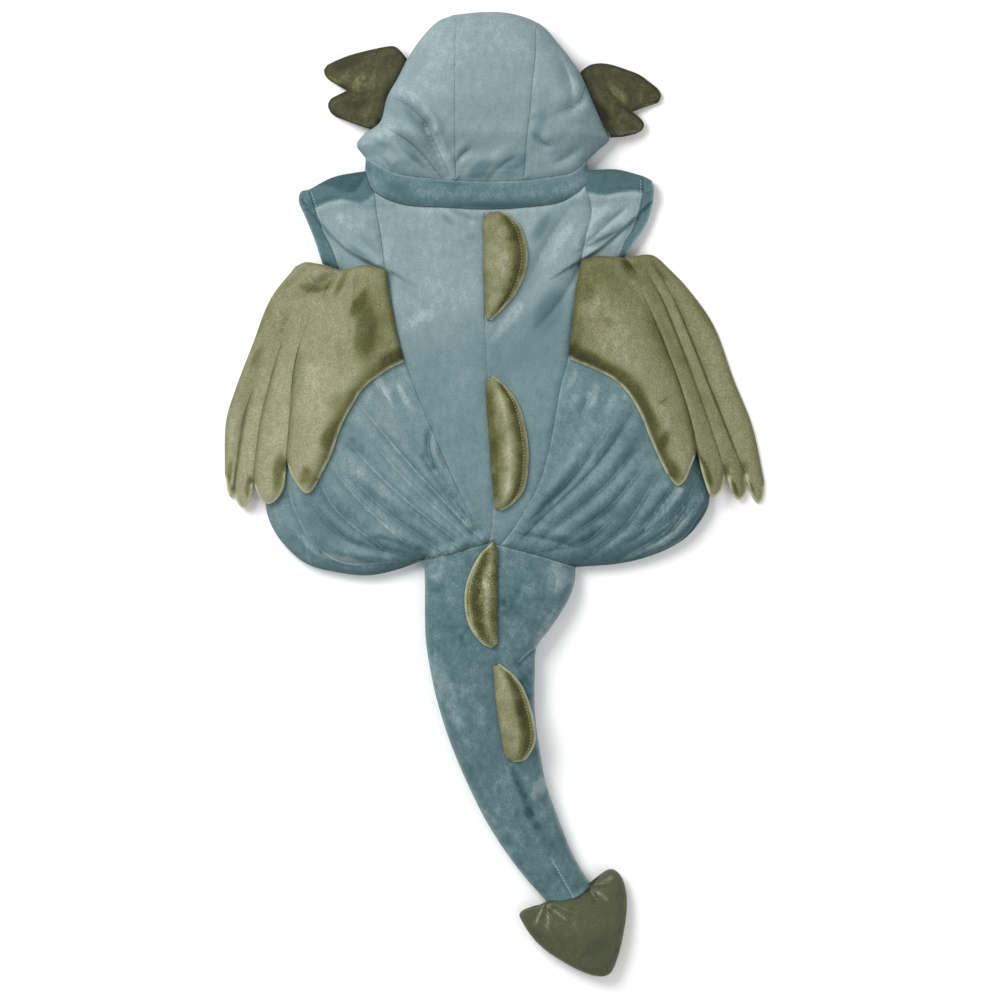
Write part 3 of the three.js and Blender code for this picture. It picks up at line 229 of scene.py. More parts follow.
CREASES = table(
    FOLD_COLUMNS,
    (-116, 436, -96, 426, -73, 404, 6, 8.5, 0.3, 0.8, -0.5),
    (-75, 406, -64, 380, -50, 350, 5, 7.0, 0.7, 0.4, -0.6),
    (-124, 405, -88, 381, -58, 347, 6, 8.0, 0.3, 0.6, -0.7),
    (-126, 374, -118, 363, -112, 355, 4, 3.5, 0, 0.4, 0),
    (-150, 398, -132, 386, -108, 380, 7, 3, 0.2, 0, 0),
    (-113, 449, -104, 448, -96, 446, 4, 2.2, 0.4, 0, 0),
    (-41, 364, -34, 373, -22, 381, 4, 3.5, 0.4, 0, -0.4),
    (-4, 348, 10, 362, 30, 374, 6, 3.5, 0.5, 0, 0),
    (46, 392, 54, 384, 66, 380, 4, 4.5, 0.4, 0, -0.6),
    (65, 499, 84, 455, 86, 428, 9, 4.5, 0, 0.2, 0),
    (106, 470, 95, 432, 68, 417, 7, 6.2, 0.2, 0.3, -0.6),
    (38, 408, 45, 411, 52, 414, 3, 2, 0.2, 0, 0),
    (98, 384, 80, 370, 62, 362, 6, 4.0, 0, 0, 0),
    (-39, 312, -30, 304, -20, 296, 4, 2.6, 0.5, 0, 0),
    (84, 318, 56, 274, 32, 222, 9, 2.8, 0.3, 0, 0),
    (106, 276, 73, 214, 29, 165, 10, 2.8, 0.2, 0, 0),
    (-118, 240, -84, 212, -60, 190, 9, 2.2, 0.4, 0, 0),
    (-200, 316, -172, 325, -136, 327, 4, 2.5, 0.6, 0.3, 0.5),
    (-184, 338, -160, 332, -143, 345, 4, 2.5, 0.3, 0.5, 0),
    (118, 330, 140, 334, 163, 333, 4, 2.5, 0.3, 0.6, 0.5),
    (103, 278, 128, 300, 150, 322, 6, 3, 0.6, 0, 0.2),
    (103, 272, 127, 284, 150, 298, 5, 2.6, 0.6, 0, 0.2),
    (-128, 262, -146, 282, -158, 306, 6, 2.6, 0.6, 0, 0),
)

# Where the sleeve folds over itself below the shoulder blade
SLEEVE_FOLDS = table(
    "x1 y1 x2 y2 x3 y3 drop",
    (-204, 316, -163, 272, -118, 247, 6),
    (158, 309, 120, 275, 92, 256, 6),
)

# Wings: the inner edge down the seam and round the inner lobe, then the rails between the lobes
ROOT_LEFT = table(
    "x y",
    (-119, 247), (-113.5, 214), (-106.5, 177), (-98.5, 146),
    (-120, 135), (-142, 118), (-155, 99), (-168, 74), (-179, 43), (-191, 19),
)
ROOT_RIGHT = table(
    "x y",
    (95.5, 257), (90.5, 230), (87.5, 204), (81.5, 149),
    (111, 137), (133, 125), (150, 107), (162, 85), (173, 58), (189, 23),
)
SEWN_POINTS = 4
TOP_LEFT = table(
    "x y",
    (-119, 247), (-141, 252), (-164, 247), (-172, 247), (-180, 250),
    (-188, 253), (-196, 254.5), (-208, 256), (-219, 251.5),
)
TOP_RIGHT = table(
    "x y",
    (95.5, 257), (115, 262), (136, 261), (144, 261), (152, 262),
    (160, 263.5), (167, 264.5), (176, 263.5), (184, 258),
)
WING_COLUMNS = "a_x a_y b_x b_y c_x c_y out_x out_y"
WING_LEFT = table(
    WING_COLUMNS,
    (-164, 247, -180, 250, -196, 254.5, -219, 251.5),
    (-193, 214, -213, 211, -231, 206, -247, 215),
    (-213, 172, -233, 170, -253, 157, -267, 164),
    (-220, 138, -248, 124, -266, 115, -285, 117),
    (-223, 93, -258, 84, -276, 80, -296, 78),
    (-228, 37, -266, 18, -287, 6, -297, 24),
)
WING_RIGHT = table(
    WING_COLUMNS,
    (136, 261, 152, 262, 167, 264.5, 184, 258),
    (158, 232, 178, 230, 196, 220, 214, 227),
    (182, 179, 202, 178, 219, 168, 243, 185),
    (200, 138, 222, 128, 241, 112, 264, 128),
    (213, 98, 238, 84, 260, 66, 285, 75),
    (223, 47, 256, 30, 276, 32, 298, 15),
)
LOBES_LEFT = [
    table("x y", (-191, 19), (-199, 5), (-208, 2), (-221, 19), (-228, 37)),
    table("x y", (-228, 37), (-231, 6), (-245, -10), (-258, -3), (-266, 18)),
    table("x y", (-266, 18), (-267, -2), (-275, -14.5), (-283, -9), (-287, 6)),
    table("x y", (-287, 6), (-288, -1), (-291, -3), (-294.5, 6), (-297, 24)),
]
LOBES_RIGHT = [
    table("x y", (189, 23), (200, 10), (209, 15), (216, 30), (223, 47)),
    table("x y", (223, 47), (230, 18), (239, -3), (251, 6), (256, 30)),
    table("x y", (256, 30), (261, 4), (270, -6), (278, 4), (276, 32)),
    table("x y", (276, 32), (281, 6), (290, -10), (297, -2), (298, 15)),
]

# Where along the wing each pleat between two lobes opens
PLEATS_LEFT = (0.32, 0.34, 0.55)
PLEATS_RIGHT = (0.16, 0.12, 0.08)
WING_FOLDS_LEFT = table(
    FOLD_COLUMNS,
    (-150, 243, -154, 214, -158, 187, 8, 3.5, 0.5, 0, -0.4),
    (-208, 240, -203, 236, -198, 229, 4, 2.5, 0, 0.5, 0.5),
    (-198, 229, -190, 235, -178, 241, 4, 2.5, 0.5, 0.2, 0.5),
    (-174, 243, -184, 225, -191, 207, 6, 3.5, 0.6, 0, -0.4),
    (-169, 247, -194, 232, -213, 212, 6, 3, 0.6, 0, 0.3),
    (-213, 176, -205, 200, -196, 218, 6, 1.8, 0.8, 0, 0),
    (-234, 168, -228, 190, -219, 210, 6, 2, 0.8, 0, 0),
    (-266, 116, -256, 150, -246, 176, 6, 2, 0.8, 0, 0.3),
)
WING_FOLDS_RIGHT = table(
    FOLD_COLUMNS,
    (140, 262, 147, 254, 155, 243, 5, 4.5, 0.8, 0.2, -1),
    (180, 97, 187, 102, 194, 107, 4, 2, 0, 0, -0.6),
    (162, 214, 153, 228, 146, 240, 6, 1.8, 0.8, 0, 0),
    (185, 217, 175, 236, 168, 250, 6, 2.4, 0.8, 0, 0.3),
    (195, 225, 187, 240, 178, 253, 6, 2.4, 0.8, 0, 0.3),
    (104, 240, 112, 222, 116, 204, 8, 2.4, 0.3, 0, 0),
)

# Tail: its two edges, its height and how far its edge rounds, from the seam to the cuff
TAIL = table(
    "left_x left_y right_x right_y height rounding",
    (-77, -72, 90, -81, 37, 50),
    (-76, -100, 88, -99, 46, 62),
    (-76, -129, 79, -121, 52, 64),
    (-75, -160, 62, -147, 54, 58),
    (-70, -193, 47, -168, 54, 52),
    (-62, -229, 45, -196, 53, 48),
    (-48, -273, 45, -238, 51, 44),
    (-31, -314, 50, -279, 48, 40),
    (-11, -355, 58, -320, 44, 36),
    (10, -389, 72, -360, 40, 32),
    (33, -420, 87, -397, 36, 30),
    (57, -447, 106, -430, 32, 26),
)
TAIL_SEAM = table(
    "x y",
    (-77, -71), (-45, -64), (-14, -56), (-4, -53), (7, -56), (48, -67), (90, -80),
)
TAIL_CUFF = table("x y", (57, -447), (76, -446), (93, -441), (106, -430))

# Arrow-shaped tip: the barbed edges on each side of it, from the cuff to the point
TIP = table(
    "left_x left_y right_x right_y",
    (57, -448, 107, -431),
    (47, -453, 114, -422),
    (35, -456, 123, -414),
    (28, -462, 132, -413),
    (32, -472, 141, -422),
    (42, -487, 146, -441),
    (56, -501, 146, -460),
    (74, -513, 143, -481),
    (92, -523, 139, -500),
    (107, -529, 133, -519),
)
TIP_POINT = table("x y", (107, -529), (119, -530.5), (128, -527), (133, -519))

# Ears: two rounded lobes with a sharp valley between them; the base follows the hood
EAR_LEFT = {
    "base": (6.0, 3.0),
    "upper": table(
        "x y",
        (-97, 479), (-106, 491), (-115, 493.5), (-136, 490), (-157, 485), (-174, 478.5), (-184, 473.5),
    ),
    "upper_lobe": table("x y", (-184, 473.5), (-187.5, 467), (-184, 459), (-174, 452), (-162, 445)),
    "lower_lobe": table(
        "x y",
        (-162, 445), (-173, 440), (-180, 436), (-183, 429), (-180, 421), (-174, 416),
    ),
    "lower": table("x y", (-125, 410), (-130, 403), (-136, 402), (-155, 408.5), (-174, 416)),
    "folds": table(
        FOLD_COLUMNS,
        (-161, 444, -149, 443, -134, 445, 5, 3.5, 0.8, 0, 0.35),
        (-160, 447, -153, 454, -145, 459, 4, 2, 0.6, 0, 0.3),
        (-160, 443, -153, 437, -146, 433, 4, 2, 0.6, 0, 0.4),
        (-130, 464, -137, 470, -141, 478, 5, 1.2, 0, 0, 0.3),
    ),
    # Painted sheen streaks and painted shade, among the nap's own patches
    "nap": table(
        "x y long short angle light",
        (-146, 449, 26, 8, 6, 0.5),
        (-162, 462, 22, 6, 30, 0.4),
        (-140, 422, 16, 8, 60, 0.35),
        (-147, 458, 12, 6, 35, 0.6),
        (-132, 462, 11, 5, 70, 0.5),
        (-160, 475, 30, 9, 20, -0.4),
        (-176, 456, 14, 3, -38, 0.7),
        (-148, 430, 16, 9, 20, -0.5),
        (-152, 434, 7, 2, -20, 0.8),
        (-152, 410, 26, 2.5, -20, 0.7),
        (-113, 430, 9, 26, 20, -0.5),
    ),
}
EAR_RIGHT = {
    "base": (5.3, 2.1),
    "upper": table(
        "x y",
        (93, 465), (100, 469), (107, 473), (118, 474.7), (131, 473),
        (147, 468), (160, 463), (171, 455), (180, 448),
    ),
    "upper_lobe": table(
        "x y",
        (180, 448), (183.7, 442), (183.5, 437), (180.5, 432), (174, 429.6), (152, 421.6),
    ),
    "lower_lobe": table(
        "x y",
        (152, 421.6), (159, 416.5), (164.5, 410.5), (165, 405), (162, 400.5), (156, 397),
    ),
    "lower": table("x y", (127, 391), (142, 393.5), (156, 397)),
    "folds": table(
        FOLD_COLUMNS,
        (151, 423, 138, 434, 122, 450, 5, 3.5, 0.8, 0, 0.35),
        (151, 422, 141, 428, 131, 428, 4, 2.5, 0.6, 0, -0.6),
        (152, 424, 154, 434, 153, 446, 5, 2, 0.6, 0, 0.3),
        (130, 416, 136, 408, 142, 402, 5, 1.2, 0, 0, 0),
    ),
    # Painted sheen streaks and painted shade, among the nap's own patches
    "nap": table(
        "x y long short angle light",
        (138, 441, 26, 7, -42, 0.5),
        (152, 453, 24, 5, -22, 0.2),
        (134, 412, 20, 5, 30, 0.3),
        (160, 438, 13, 8, 60, 0.4),
        (166, 428, 13, 3, 18, 0.9),
        (146, 456, 24, 9, -20, -0.3),
        (118, 416, 26, 14, -55, -0.7),
        (148, 398, 20, 2.5, 10, 0.7),
        (160, 402, 7, 3, 45, 0.6),
    ),
}

# Spines: stuffed crescents, each with its straight base on the seam and its bulging side
SPINE_COLUMNS = "base_x base_y bulge_x bulge_y"
SPINES = [
    table(
        SPINE_COLUMNS,
        (-5, 310, 8, 311),
        (-13, 300, 20, 304),
        (-12, 280, 31, 290),
        (-12, 260, 37, 264),
        (-12, 240, 33, 240),
        (-10, 217, 22, 218),
        (-10, 200, 8, 202),
        (-8, 191, -3, 191),
    ),
    table(
        SPINE_COLUMNS,
        (-7, 129, 0, 130),
        (-9, 118, 14, 118),
        (-8, 96, 28, 97),
        (-6, 68, 36, 66),
        (-4, 40, 38, 38),
        (-2, 14, 34, 8),
        (0, -8, 22, -9),
        (1, -16, 8, -18),
    ),
    table(
        SPINE_COLUMNS,
        (3, -56, -2, -52),
        (4, -70, -17, -68),
        (4, -88, -27, -88),
        (4, -106, -32, -108),
        (4, -124, -31, -130),
        (4, -141, -25, -148),
        (4, -155, -13, -163),
        (4, -163, -3, -168),
    ),
    table(
        SPINE_COLUMNS,
        (-1, -188, 6, -185),
        (0, -202, 23, -199),
        (1, -218, 34, -216),
        (3, -234, 41, -236),
        (5, -250, 45, -254),
        (8, -266, 45, -272),
        (10, -280, 35, -290),
        (13, -289, 22, -293),
    ),
]


# Nap and painted light of each spine from its base, 0, to its bulging side, 1: a painted highlight band,
# painted shade on the side that turns away and a painted sheen at its edge
SPINE_NAP_AND_SHADING = table(
    "across spine_1 spine_2 spine_3 spine_4",
    (0.00, 0.50, 0.30, 0.34, 0.58),
    (0.15, 0.62, 0.26, 0.38, 0.66),
    (0.35, 0.66, 0.62, 0.78, 0.70),
    (0.50, 0.66, 0.88, 0.40, 0.66),
    (0.62, 0.50, 0.60, 0.16, 0.34),
    (0.75, 0.18, 0.20, 0.26, 0.16),
    (0.85, 0.18, 0.20, 0.52, 0.28),
    (0.93, 0.50, 0.55, 0.62, 0.58),
    (1.00, 0.72, 0.72, 0.70, 0.74),
)


# Small helpers on numbers and points
def mix(a, b, t):
    return a + (b - a) * t


def ease(t):
    t = np.clip(t, 0, 1)
    return t * t * (3 - 2 * t)


def bell(distance, width):
    return np.exp(-((distance / width) ** 2))


def fullness(distance, reach):
    """How full a rounded edge is: 0 at its border, 1 once its reach away."""
    c = np.clip(1 - distance / reach, 0, 1)
    return np.sqrt(1 - c * c)


def curve(points, at):
    """Places on a smooth curve through the points; at counts them from 0."""
    points = np.asarray(points, float)
    last = len(points) - 1
    at = np.asarray(at, float)
    ends = np.vstack([2 * points[0] - points[1], points, 2 * points[-1] - points[-2]])
    i = np.clip(np.floor(at).astype(int), 0, last - 1)
    f = (at - i)[:, None]
    p0, p1, p2, p3 = ends[i], ends[i + 1], ends[i + 2], ends[i + 3]
    bend = 2 * p0 - 5 * p1 + 4 * p2 - p3
    twist = 3 * p1 - p0 - 3 * p2 + p3
    return (2 * p1 + (p2 - p0) * f + bend * f**2 + twist * f**3) / 2


def along(points, ways):
    """Places on that curve at shares of the way through its points."""
    return curve(points, ways * (len(points) - 1))


def run(points, steps, first=0, last=None):
    """Evenly spread places on that curve between two of its points."""
    last = len(points) - 1 if last is None else last
    return curve(points, np.linspace(first, last, steps + 1))


def spread(points, ways):
    """Places at shares of the way along a run of points, straight between them."""
    count = np.asarray(ways) * (len(points) - 1)
    index = np.arange(len(points))
    return np.column_stack([np.interp(count, index, points[:, k]) for k in (0, 1)])


def blend(sides_a, sides_b, ways):
    """Rows of points between two runs, at the given shares of the way."""
    ways = np.asarray(ways)[None, :, None]
    return mix(sides_a[:, None, :], sides_b[:, None, :], ways)


def patch(left, right, start, end, down):
    """A grid spanned by four runs: down holds each row's share of the way from start to end."""
    across = np.hypot(*(start - start[0]).T)
    across = np.clip(across / np.hypot(*(start[-1] - start[0])), 0, 1)
    across[-1] = 1
    u = across[None, :, None]
    v = np.asarray(down)[:, None, None]
    sides = mix(left[:, None], right[:, None], u)
    ends = mix(start[None], end[None], v)
    corner = mix(mix(start[0], start[-1], u), mix(end[0], end[-1], u), v)
    return sides + ends - corner


def crowded(count, near_start, near_end):
    """Shares from 0 to 1, closer together near either end."""
    s = np.linspace(0, 1, count + 1)
    early = s**2
    late = 1 - (1 - s) ** 2
    return s + near_start * (early - s) * (1 - s) + near_end * (late - s) * s


def nearest(at, runs, chunk=3000):
    """For each point its distance from the nearest run, its side of it, its way along it and which it is."""
    starts = np.vstack([r[:-1] for r in runs])
    steps = np.vstack([np.diff(r, axis=0) for r in runs])
    behind = np.concatenate([np.arange(len(r) - 1) / (len(r) - 1) for r in runs])
    share = np.concatenate([np.full(len(r) - 1, 1 / (len(r) - 1)) for r in runs])
    number = np.concatenate([np.full(len(r) - 1, k) for k, r in enumerate(runs)])
    squares = np.maximum((steps**2).sum(1), 1e-9)
    distance, side, way = (np.empty(len(at)) for _ in range(3))
    which = np.empty(len(at), int)
    for first in range(0, len(at), chunk):
        part = slice(first, first + chunk)
        gap_x = at[part, 0:1] - starts[:, 0]
        gap_y = at[part, 1:2] - starts[:, 1]
        t = np.clip((gap_x * steps[:, 0] + gap_y * steps[:, 1]) / squares, 0, 1)
        gap_x -= t * steps[:, 0]
        gap_y -= t * steps[:, 1]
        apart = gap_x**2 + gap_y**2
        best = apart.argmin(1)
        row = np.arange(len(best))
        distance[part] = np.sqrt(apart[row, best])
        turned = gap_x[row, best] * steps[best, 1] - gap_y[row, best] * steps[best, 0]
        side[part] = np.sign(turned)
        way[part] = behind[best] + t[row, best] * share[best]
        which[part] = number[best]
    return distance, side, way, which


def away_from(at, runs):
    """For each point its distance from the nearest run."""
    return nearest(at, runs)[0]


def uneven(at, size, seed):
    """Soft unevenness from -1 to 1, with bumps of about the given size."""
    values = np.random.default_rng(seed).uniform(-1, 1, (97, 97))
    place = at / size + 400
    cell = np.floor(place).astype(int)
    f = place - cell
    f = f * f * (3 - 2 * f)
    i, j = cell[:, 0] % 96, cell[:, 1] % 96
    low = mix(values[i, j], values[i + 1, j], f[:, 0])
    high = mix(values[i, j + 1], values[i + 1, j + 1], f[:, 0])
    return mix(low, high, f[:, 1])


# Rows of the neck's and the tail seam's tables: their middles, their ends and the hood's two seams
COLLAR_MIDDLE = 4
COLLAR_LAST = 8
HOOD_SEAMS = (3, 5)
TAIL_MIDDLE = 3


# Outline of the laid garment, without the open ends of the sleeves and the tail seam
def across_sleeve(stations, row):
    """The points of one row of a sleeve's table, from the armhole to the hem."""
    return np.array([line(stations, name)[row] for name in ("arm", "mid", "seam", "hem")])


def outline(sleeve, body, end):
    """Collar end, shoulder edge, and underarm with body side, on one side of the garment."""
    return [
        np.array([line(COLLAR, "body")[end], line(COLLAR, "hood")[end]]),
        run(across_sleeve(sleeve, 0), 12),
        np.vstack([run(across_sleeve(sleeve, -1)[::-1], 12), run(line(body, "edge"), 104)[1:]]),
    ]


HOOD_EDGE = np.vstack([
    run(line(HOOD_LEFT, "edge"), 60),
    run(line(CROWN_EDGE), 24)[1:],
    run(line(HOOD_RIGHT, "edge"), 60)[::-1][1:],
])
OUTLINE_LEFT = outline(SLEEVE_LEFT, BODY_LEFT, 0)
OUTLINE_RIGHT = outline(SLEEVE_RIGHT, BODY_RIGHT, COLLAR_LAST)
GARMENT_OUTLINE = [HOOD_EDGE, *OUTLINE_LEFT, *OUTLINE_RIGHT]
SILHOUETTE = np.vstack([
    OUTLINE_LEFT[1][::-1],
    HOOD_EDGE,
    OUTLINE_RIGHT[1],
    OUTLINE_RIGHT[2],
    OUTLINE_LEFT[2][::-1],
])


def inside(at):
    """Whether each point lies inside the laid garment."""
    within = np.zeros(len(at), bool)
    x, y = at[:, 0], at[:, 1]
    for (ax, ay), (bx, by) in zip(SILHOUETTE, np.roll(SILHOUETTE, -1, axis=0)):
        if ay == by:
            continue
        crosses = ((ay > y) != (by > y)) & (x < ax + (y - ay) * (bx - ax) / (by - ay))
        within ^= crosses
    return within


# Seam lines, which pull the cloth in
def arm_curve(sleeve, at):
    """The armhole below the collar; at runs from 0 to 3."""
    return curve(line(sleeve, "arm")[2:6], at)


# Places down a side of the back: first those of the armhole, then those of the princess seam
ARM_PLACES = 6
BODY_PLACES = 13


def side_seam(sleeve, body, ways):
    """Armhole and princess seam, from the collar to the tail; ways are shares of the whole."""
    place = np.asarray(ways) * (ARM_PLACES + BODY_PLACES)
    arm = arm_curve(sleeve, np.clip(place / 2, 0, 3))
    low = curve(line(body, "seam"), np.clip(place - ARM_PLACES, 0, BODY_PLACES))
    return np.where((place < ARM_PLACES)[:, None], arm, low)


PRINCESS = [
    side_seam(SLEEVE_LEFT, BODY_LEFT, np.linspace(0, 1, 96)),
    side_seam(SLEEVE_RIGHT, BODY_RIGHT, np.linspace(0, 1, 96)),
]
CENTRE_RUN = run(line(CENTRE_SEAM), 60)
HOOD_NECK_RUN = run(line(COLLAR, "hood"), 48)
TAIL_SEAM_RUN = run(line(TAIL_SEAM), 36)
SEAMS = [
    (CENTRE_RUN, 0.7),
    (PRINCESS[0], 1.4),
    (PRINCESS[1], 1.4),
    (HOOD_NECK_RUN, 2.2),
    (run(line(COLLAR, "body"), 48), 2.0),
    (run(line(HOOD_LEFT, "seam"), 24), 0.3),
    (run(line(HOOD_RIGHT, "seam"), 24), 0.8),
    (run(line(SLEEVE_LEFT, "seam"), 24), 1.0),
    (run(line(SLEEVE_RIGHT, "seam"), 24), 1.0),
    (TAIL_SEAM_RUN, 1.5),
]
SEAM_RUNS = [points for points, _ in SEAMS]
SEAM_DEPTHS = np.array([depth for _, depth in SEAMS])


def rows_of(stations):
    return list(zip(*stations.values()))


def folds_of(stations):
    """Each fold's line through its three points, with its own sizes."""
    return [(run(np.array(row[:6]).reshape(3, 2), 16), *row[6:]) for row in rows_of(stations)]


FOLDS = folds_of(GATHERS) + folds_of(CREASES)
SLEEVE_FOLD_LINES = [(run(np.array(row[:6]).reshape(3, 2), 16), row[6]) for row in rows_of(SLEEVE_FOLDS)]


def near_box(at, points, reach):
    """Which points lie within reach of a line's box."""
    low, high = points.min(0) - reach, points.max(0) + reach
    return np.flatnonzero(((at > low) & (at < high)).all(1))


def beside(at, points, start, end):
    """Distance from a fold, 1 or -1 for above or below it, and its share of its full depth there."""
    away, side, way, _ = nearest(at, [points])
    above = side * np.sign(points[0, 0] - points[-1, 0] + 0.001)
    share = mix(start, 1, ease(way / 0.35)) * mix(end, 1, ease((1 - way) / 0.35))
    return away, above, share


def fold_height(at, folds):
    """What folds add to the height: a crease with a full upper lip, and a softer ridge below it."""
    height = np.zeros(len(at))
    for points, width, depth, start, end, _ in folds:
        near = near_box(at, points, 4 * width)
        if not len(near):
            continue
        away, above, share = beside(at[near], points, start, end)
        valley = np.exp(-((away / (0.6 * width)) ** 1.3))
        ridge = bell(away - 1.8 * width, width) * (0.42 + 0.16 * above)
        lip = 0.3 * np.tanh(above * away / 1.5) * np.exp(-away / (1.6 * width))
        height[near] += depth * share * (ridge + lip - valley)
    return height


def fold_marks(at, folds):
    """For the painted crease lines: distance from the nearest fold, positive above it, and how light its
    painted highlight is, below 0 how dark its painted shade is.
    """
    distance = np.full(len(at), 20.0)
    painted_crease_light = np.zeros(len(at))
    for points, _, _, start, end, light in folds:
        near = near_box(at, points, 10)
        if not len(near):
            continue
        away, above, share = beside(at[near], points, start, end)
        closer = away < np.abs(distance[near])
        distance[near[closer]] = (away * above)[closer]
        painted_crease_light[near[closer]] = (light * share)[closer]
    return {"crease": distance, "line": painted_crease_light}


def on_sleeve(at):
    """How far out along a sleeve, from 0 on the body to 1 at the hem."""
    return ease((np.abs(at[:, 0] + 15) - 105) / 85) * ease((at[:, 1] - 215) / 35)


def stepped(y, stations, name):
    """A column of a table at y, easing from station to station."""
    places = stations["y"]
    values = stations[name]
    i = np.clip(np.searchsorted(-places, -y) - 1, 0, len(places) - 2)
    t = ease((places[i] - y) / (places[i] - places[i + 1]))
    return mix(values[i], values[i + 1], t)


def loft(at, folded=True):
    """Height of the cloth away from its edges, with or without its folds."""
    height = mix(stepped(at[:, 1], LOFT, "height"), SLEEVE_LOFT, on_sleeve(at))
    if not folded:
        return height
    distance, _, way, which = nearest(at, SEAM_RUNS)
    height -= SEAM_DEPTHS[which] * (bell(distance, SEAM_WIDTH) + 0.5 * bell(distance, 1.3))
    pucker = np.sin(way * 190 + 2.5 * uneven(at, 24, 5)) * (0.6 + 0.4 * uneven(at, 31, 6))
    height += 0.45 * pucker * np.exp(-distance / 6) * ease(distance / 2)
    height += fold_height(at, FOLDS)
    for points, drop in SLEEVE_FOLD_LINES:
        near = near_box(at, points, 70)
        if not len(near):
            continue
        distance, side, _, _ = nearest(at[near], [points])
        lower = side > 0 if points[0, 0] < 0 else side < 0
        away = np.where(lower, distance, 0)
        height[near] -= drop * ease(away / 3.5) * bell(distance, 26)
    height += 0.8 * uneven(at, 41, 1) + 0.5 * uneven(at, 19, 2) + 0.2 * uneven(at, 8, 3)
    return height


def high(at):
    """0 on the body, 1 on the hood."""
    return ease((at[:, 1] - 335) / 45)


def by_part(at, sizes):
    """A size that eases from the body to the hood and out along the sleeves."""
    return mix(mix(sizes["body"], sizes["hood"], high(at)), sizes["sleeve"], on_sleeve(at))


def laid(grid, upper):
    """Heights of a plan grid laid on the upper or the under layer of the garment."""
    at = grid.reshape(-1, 2)
    top = np.broadcast_to(upper, grid.shape[:2]).ravel()
    rounding = np.where(top, by_part(at, ROUNDING_ABOVE), by_part(at, ROUNDING_BELOW))
    full = fullness(away_from(at, GARMENT_OUTLINE), rounding)
    edge = by_part(at, EDGE_HEIGHT)
    z = edge * (1 - full)
    z[top] = (edge + (loft(at) - edge) * full)[top]
    return z.reshape(grid.shape[:2])


def cover_height(at, reach):
    """Top of the laid garment for what lies on it, which bridges the folds within its reach."""
    full = fullness(away_from(at, GARMENT_OUTLINE), by_part(at, ROUNDING_ABOVE))
    edge = by_part(at, EDGE_HEIGHT)
    height = loft(at, False)
    for k in range(8):
        angle = k * math.pi / 4
        step = reach * np.array([math.cos(angle), math.sin(angle)])
        height = np.maximum(height, loft(at + step))
    return np.where(inside(at), edge + (height - edge) * full, 0)


# Meshes
def normals(grid, ring):
    """Outward directions of a grid of points in space."""
    if ring:
        wide = np.concatenate([grid[:, -2:], grid, grid[:, :2]], axis=1)
        across = np.gradient(wide, axis=1)[:, 2:-2]
    else:
        across = np.gradient(grid, axis=1)
    down = np.gradient(grid, axis=0)
    n = np.cross(down, across)
    return n / np.maximum(np.linalg.norm(n, axis=2, keepdims=True), 1e-9)


def shell_faces(rows, columns, ring):
    """Four-sided faces of a closed body made of an outer and an inner grid."""
    i, j = np.meshgrid(np.arange(rows - 1), np.arange(columns if ring else columns - 1), indexing="ij")
    i, j = i.ravel(), j.ravel()
    k = (j + 1) % columns
    size = rows * columns

    def at(layer, row, column):
        return layer * size + row * columns + column

    faces = [
        np.column_stack([at(0, i, j), at(0, i + 1, j), at(0, i + 1, k), at(0, i, k)]),
        np.column_stack([at(1, i, j), at(1, i, k), at(1, i + 1, k), at(1, i + 1, j)]),
    ]
    j = np.arange(columns if ring else columns - 1)
    k = (j + 1) % columns
    end = np.full(len(j), rows - 1)
    start = 0 * j
    faces.append(np.column_stack([at(0, start, j), at(0, start, k), at(1, start, k), at(1, start, j)]))
    faces.append(np.column_stack([at(0, end, j), at(1, end, j), at(1, end, k), at(0, end, k)]))
    if not ring:
        i = np.arange(rows - 1)
        near = 0 * i
        far = near + columns - 1
        n = i + 1
        faces.append(np.column_stack([at(0, i, near), at(1, i, near), at(1, n, near), at(0, n, near)]))
        faces.append(np.column_stack([at(0, i, far), at(0, n, far), at(1, n, far), at(1, i, far)]))
    return np.vstack(faces)


def facing_out(points, faces):
    """The faces, turned round if the body came out inside out."""
    a, b, c, d = (points[faces[:, k]] for k in range(4))
    volume = (a * np.cross(b, c)).sum() + (a * np.cross(c, d)).sum()
    return faces if volume > 0 else faces[:, ::-1]


def new_piece(name, points, faces, finish, tones):
    """A smooth mesh object in metres that rides with the costume, with its tones as attributes."""
    mesh = bpy.data.meshes.new(name)
    mesh.from_pydata((points * MM).tolist(), [], faces.tolist())
    mesh.polygons.foreach_set("use_smooth", np.ones(len(mesh.polygons), bool))
    for tone, values in tones.items():
        layer = mesh.attributes.new(tone, "FLOAT", "POINT")
        both = np.broadcast_to(values, len(points) // 2)
        layer.data.foreach_set("value", np.tile(both, 2).astype(np.float32))
    mesh.materials.append(finish.material)
    mesh.update()
    piece = bpy.data.objects.new(name, mesh)
    bpy.context.scene.collection.objects.link(piece)
    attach(piece, "root")
    return piece


def drawn_in(grid, ring):
    """Moves the border of a plan grid in by half the seam gap."""
    result = grid.copy()

    def towards(p, q):
        gap = np.hypot(*(q - p).T)[:, None]
        return mix(p, q, np.minimum(0.45, SEAM_GAP / 2 / np.maximum(gap, 1e-6)))

    result[0] = towards(grid[0], grid[1])
    result[-1] = towards(grid[-1], grid[-2])
    if not ring:
        result[:, 0] = towards(result[:, 0], result[:, 1])
        result[:, -1] = towards(result[:, -1], result[:, -2])
    return result


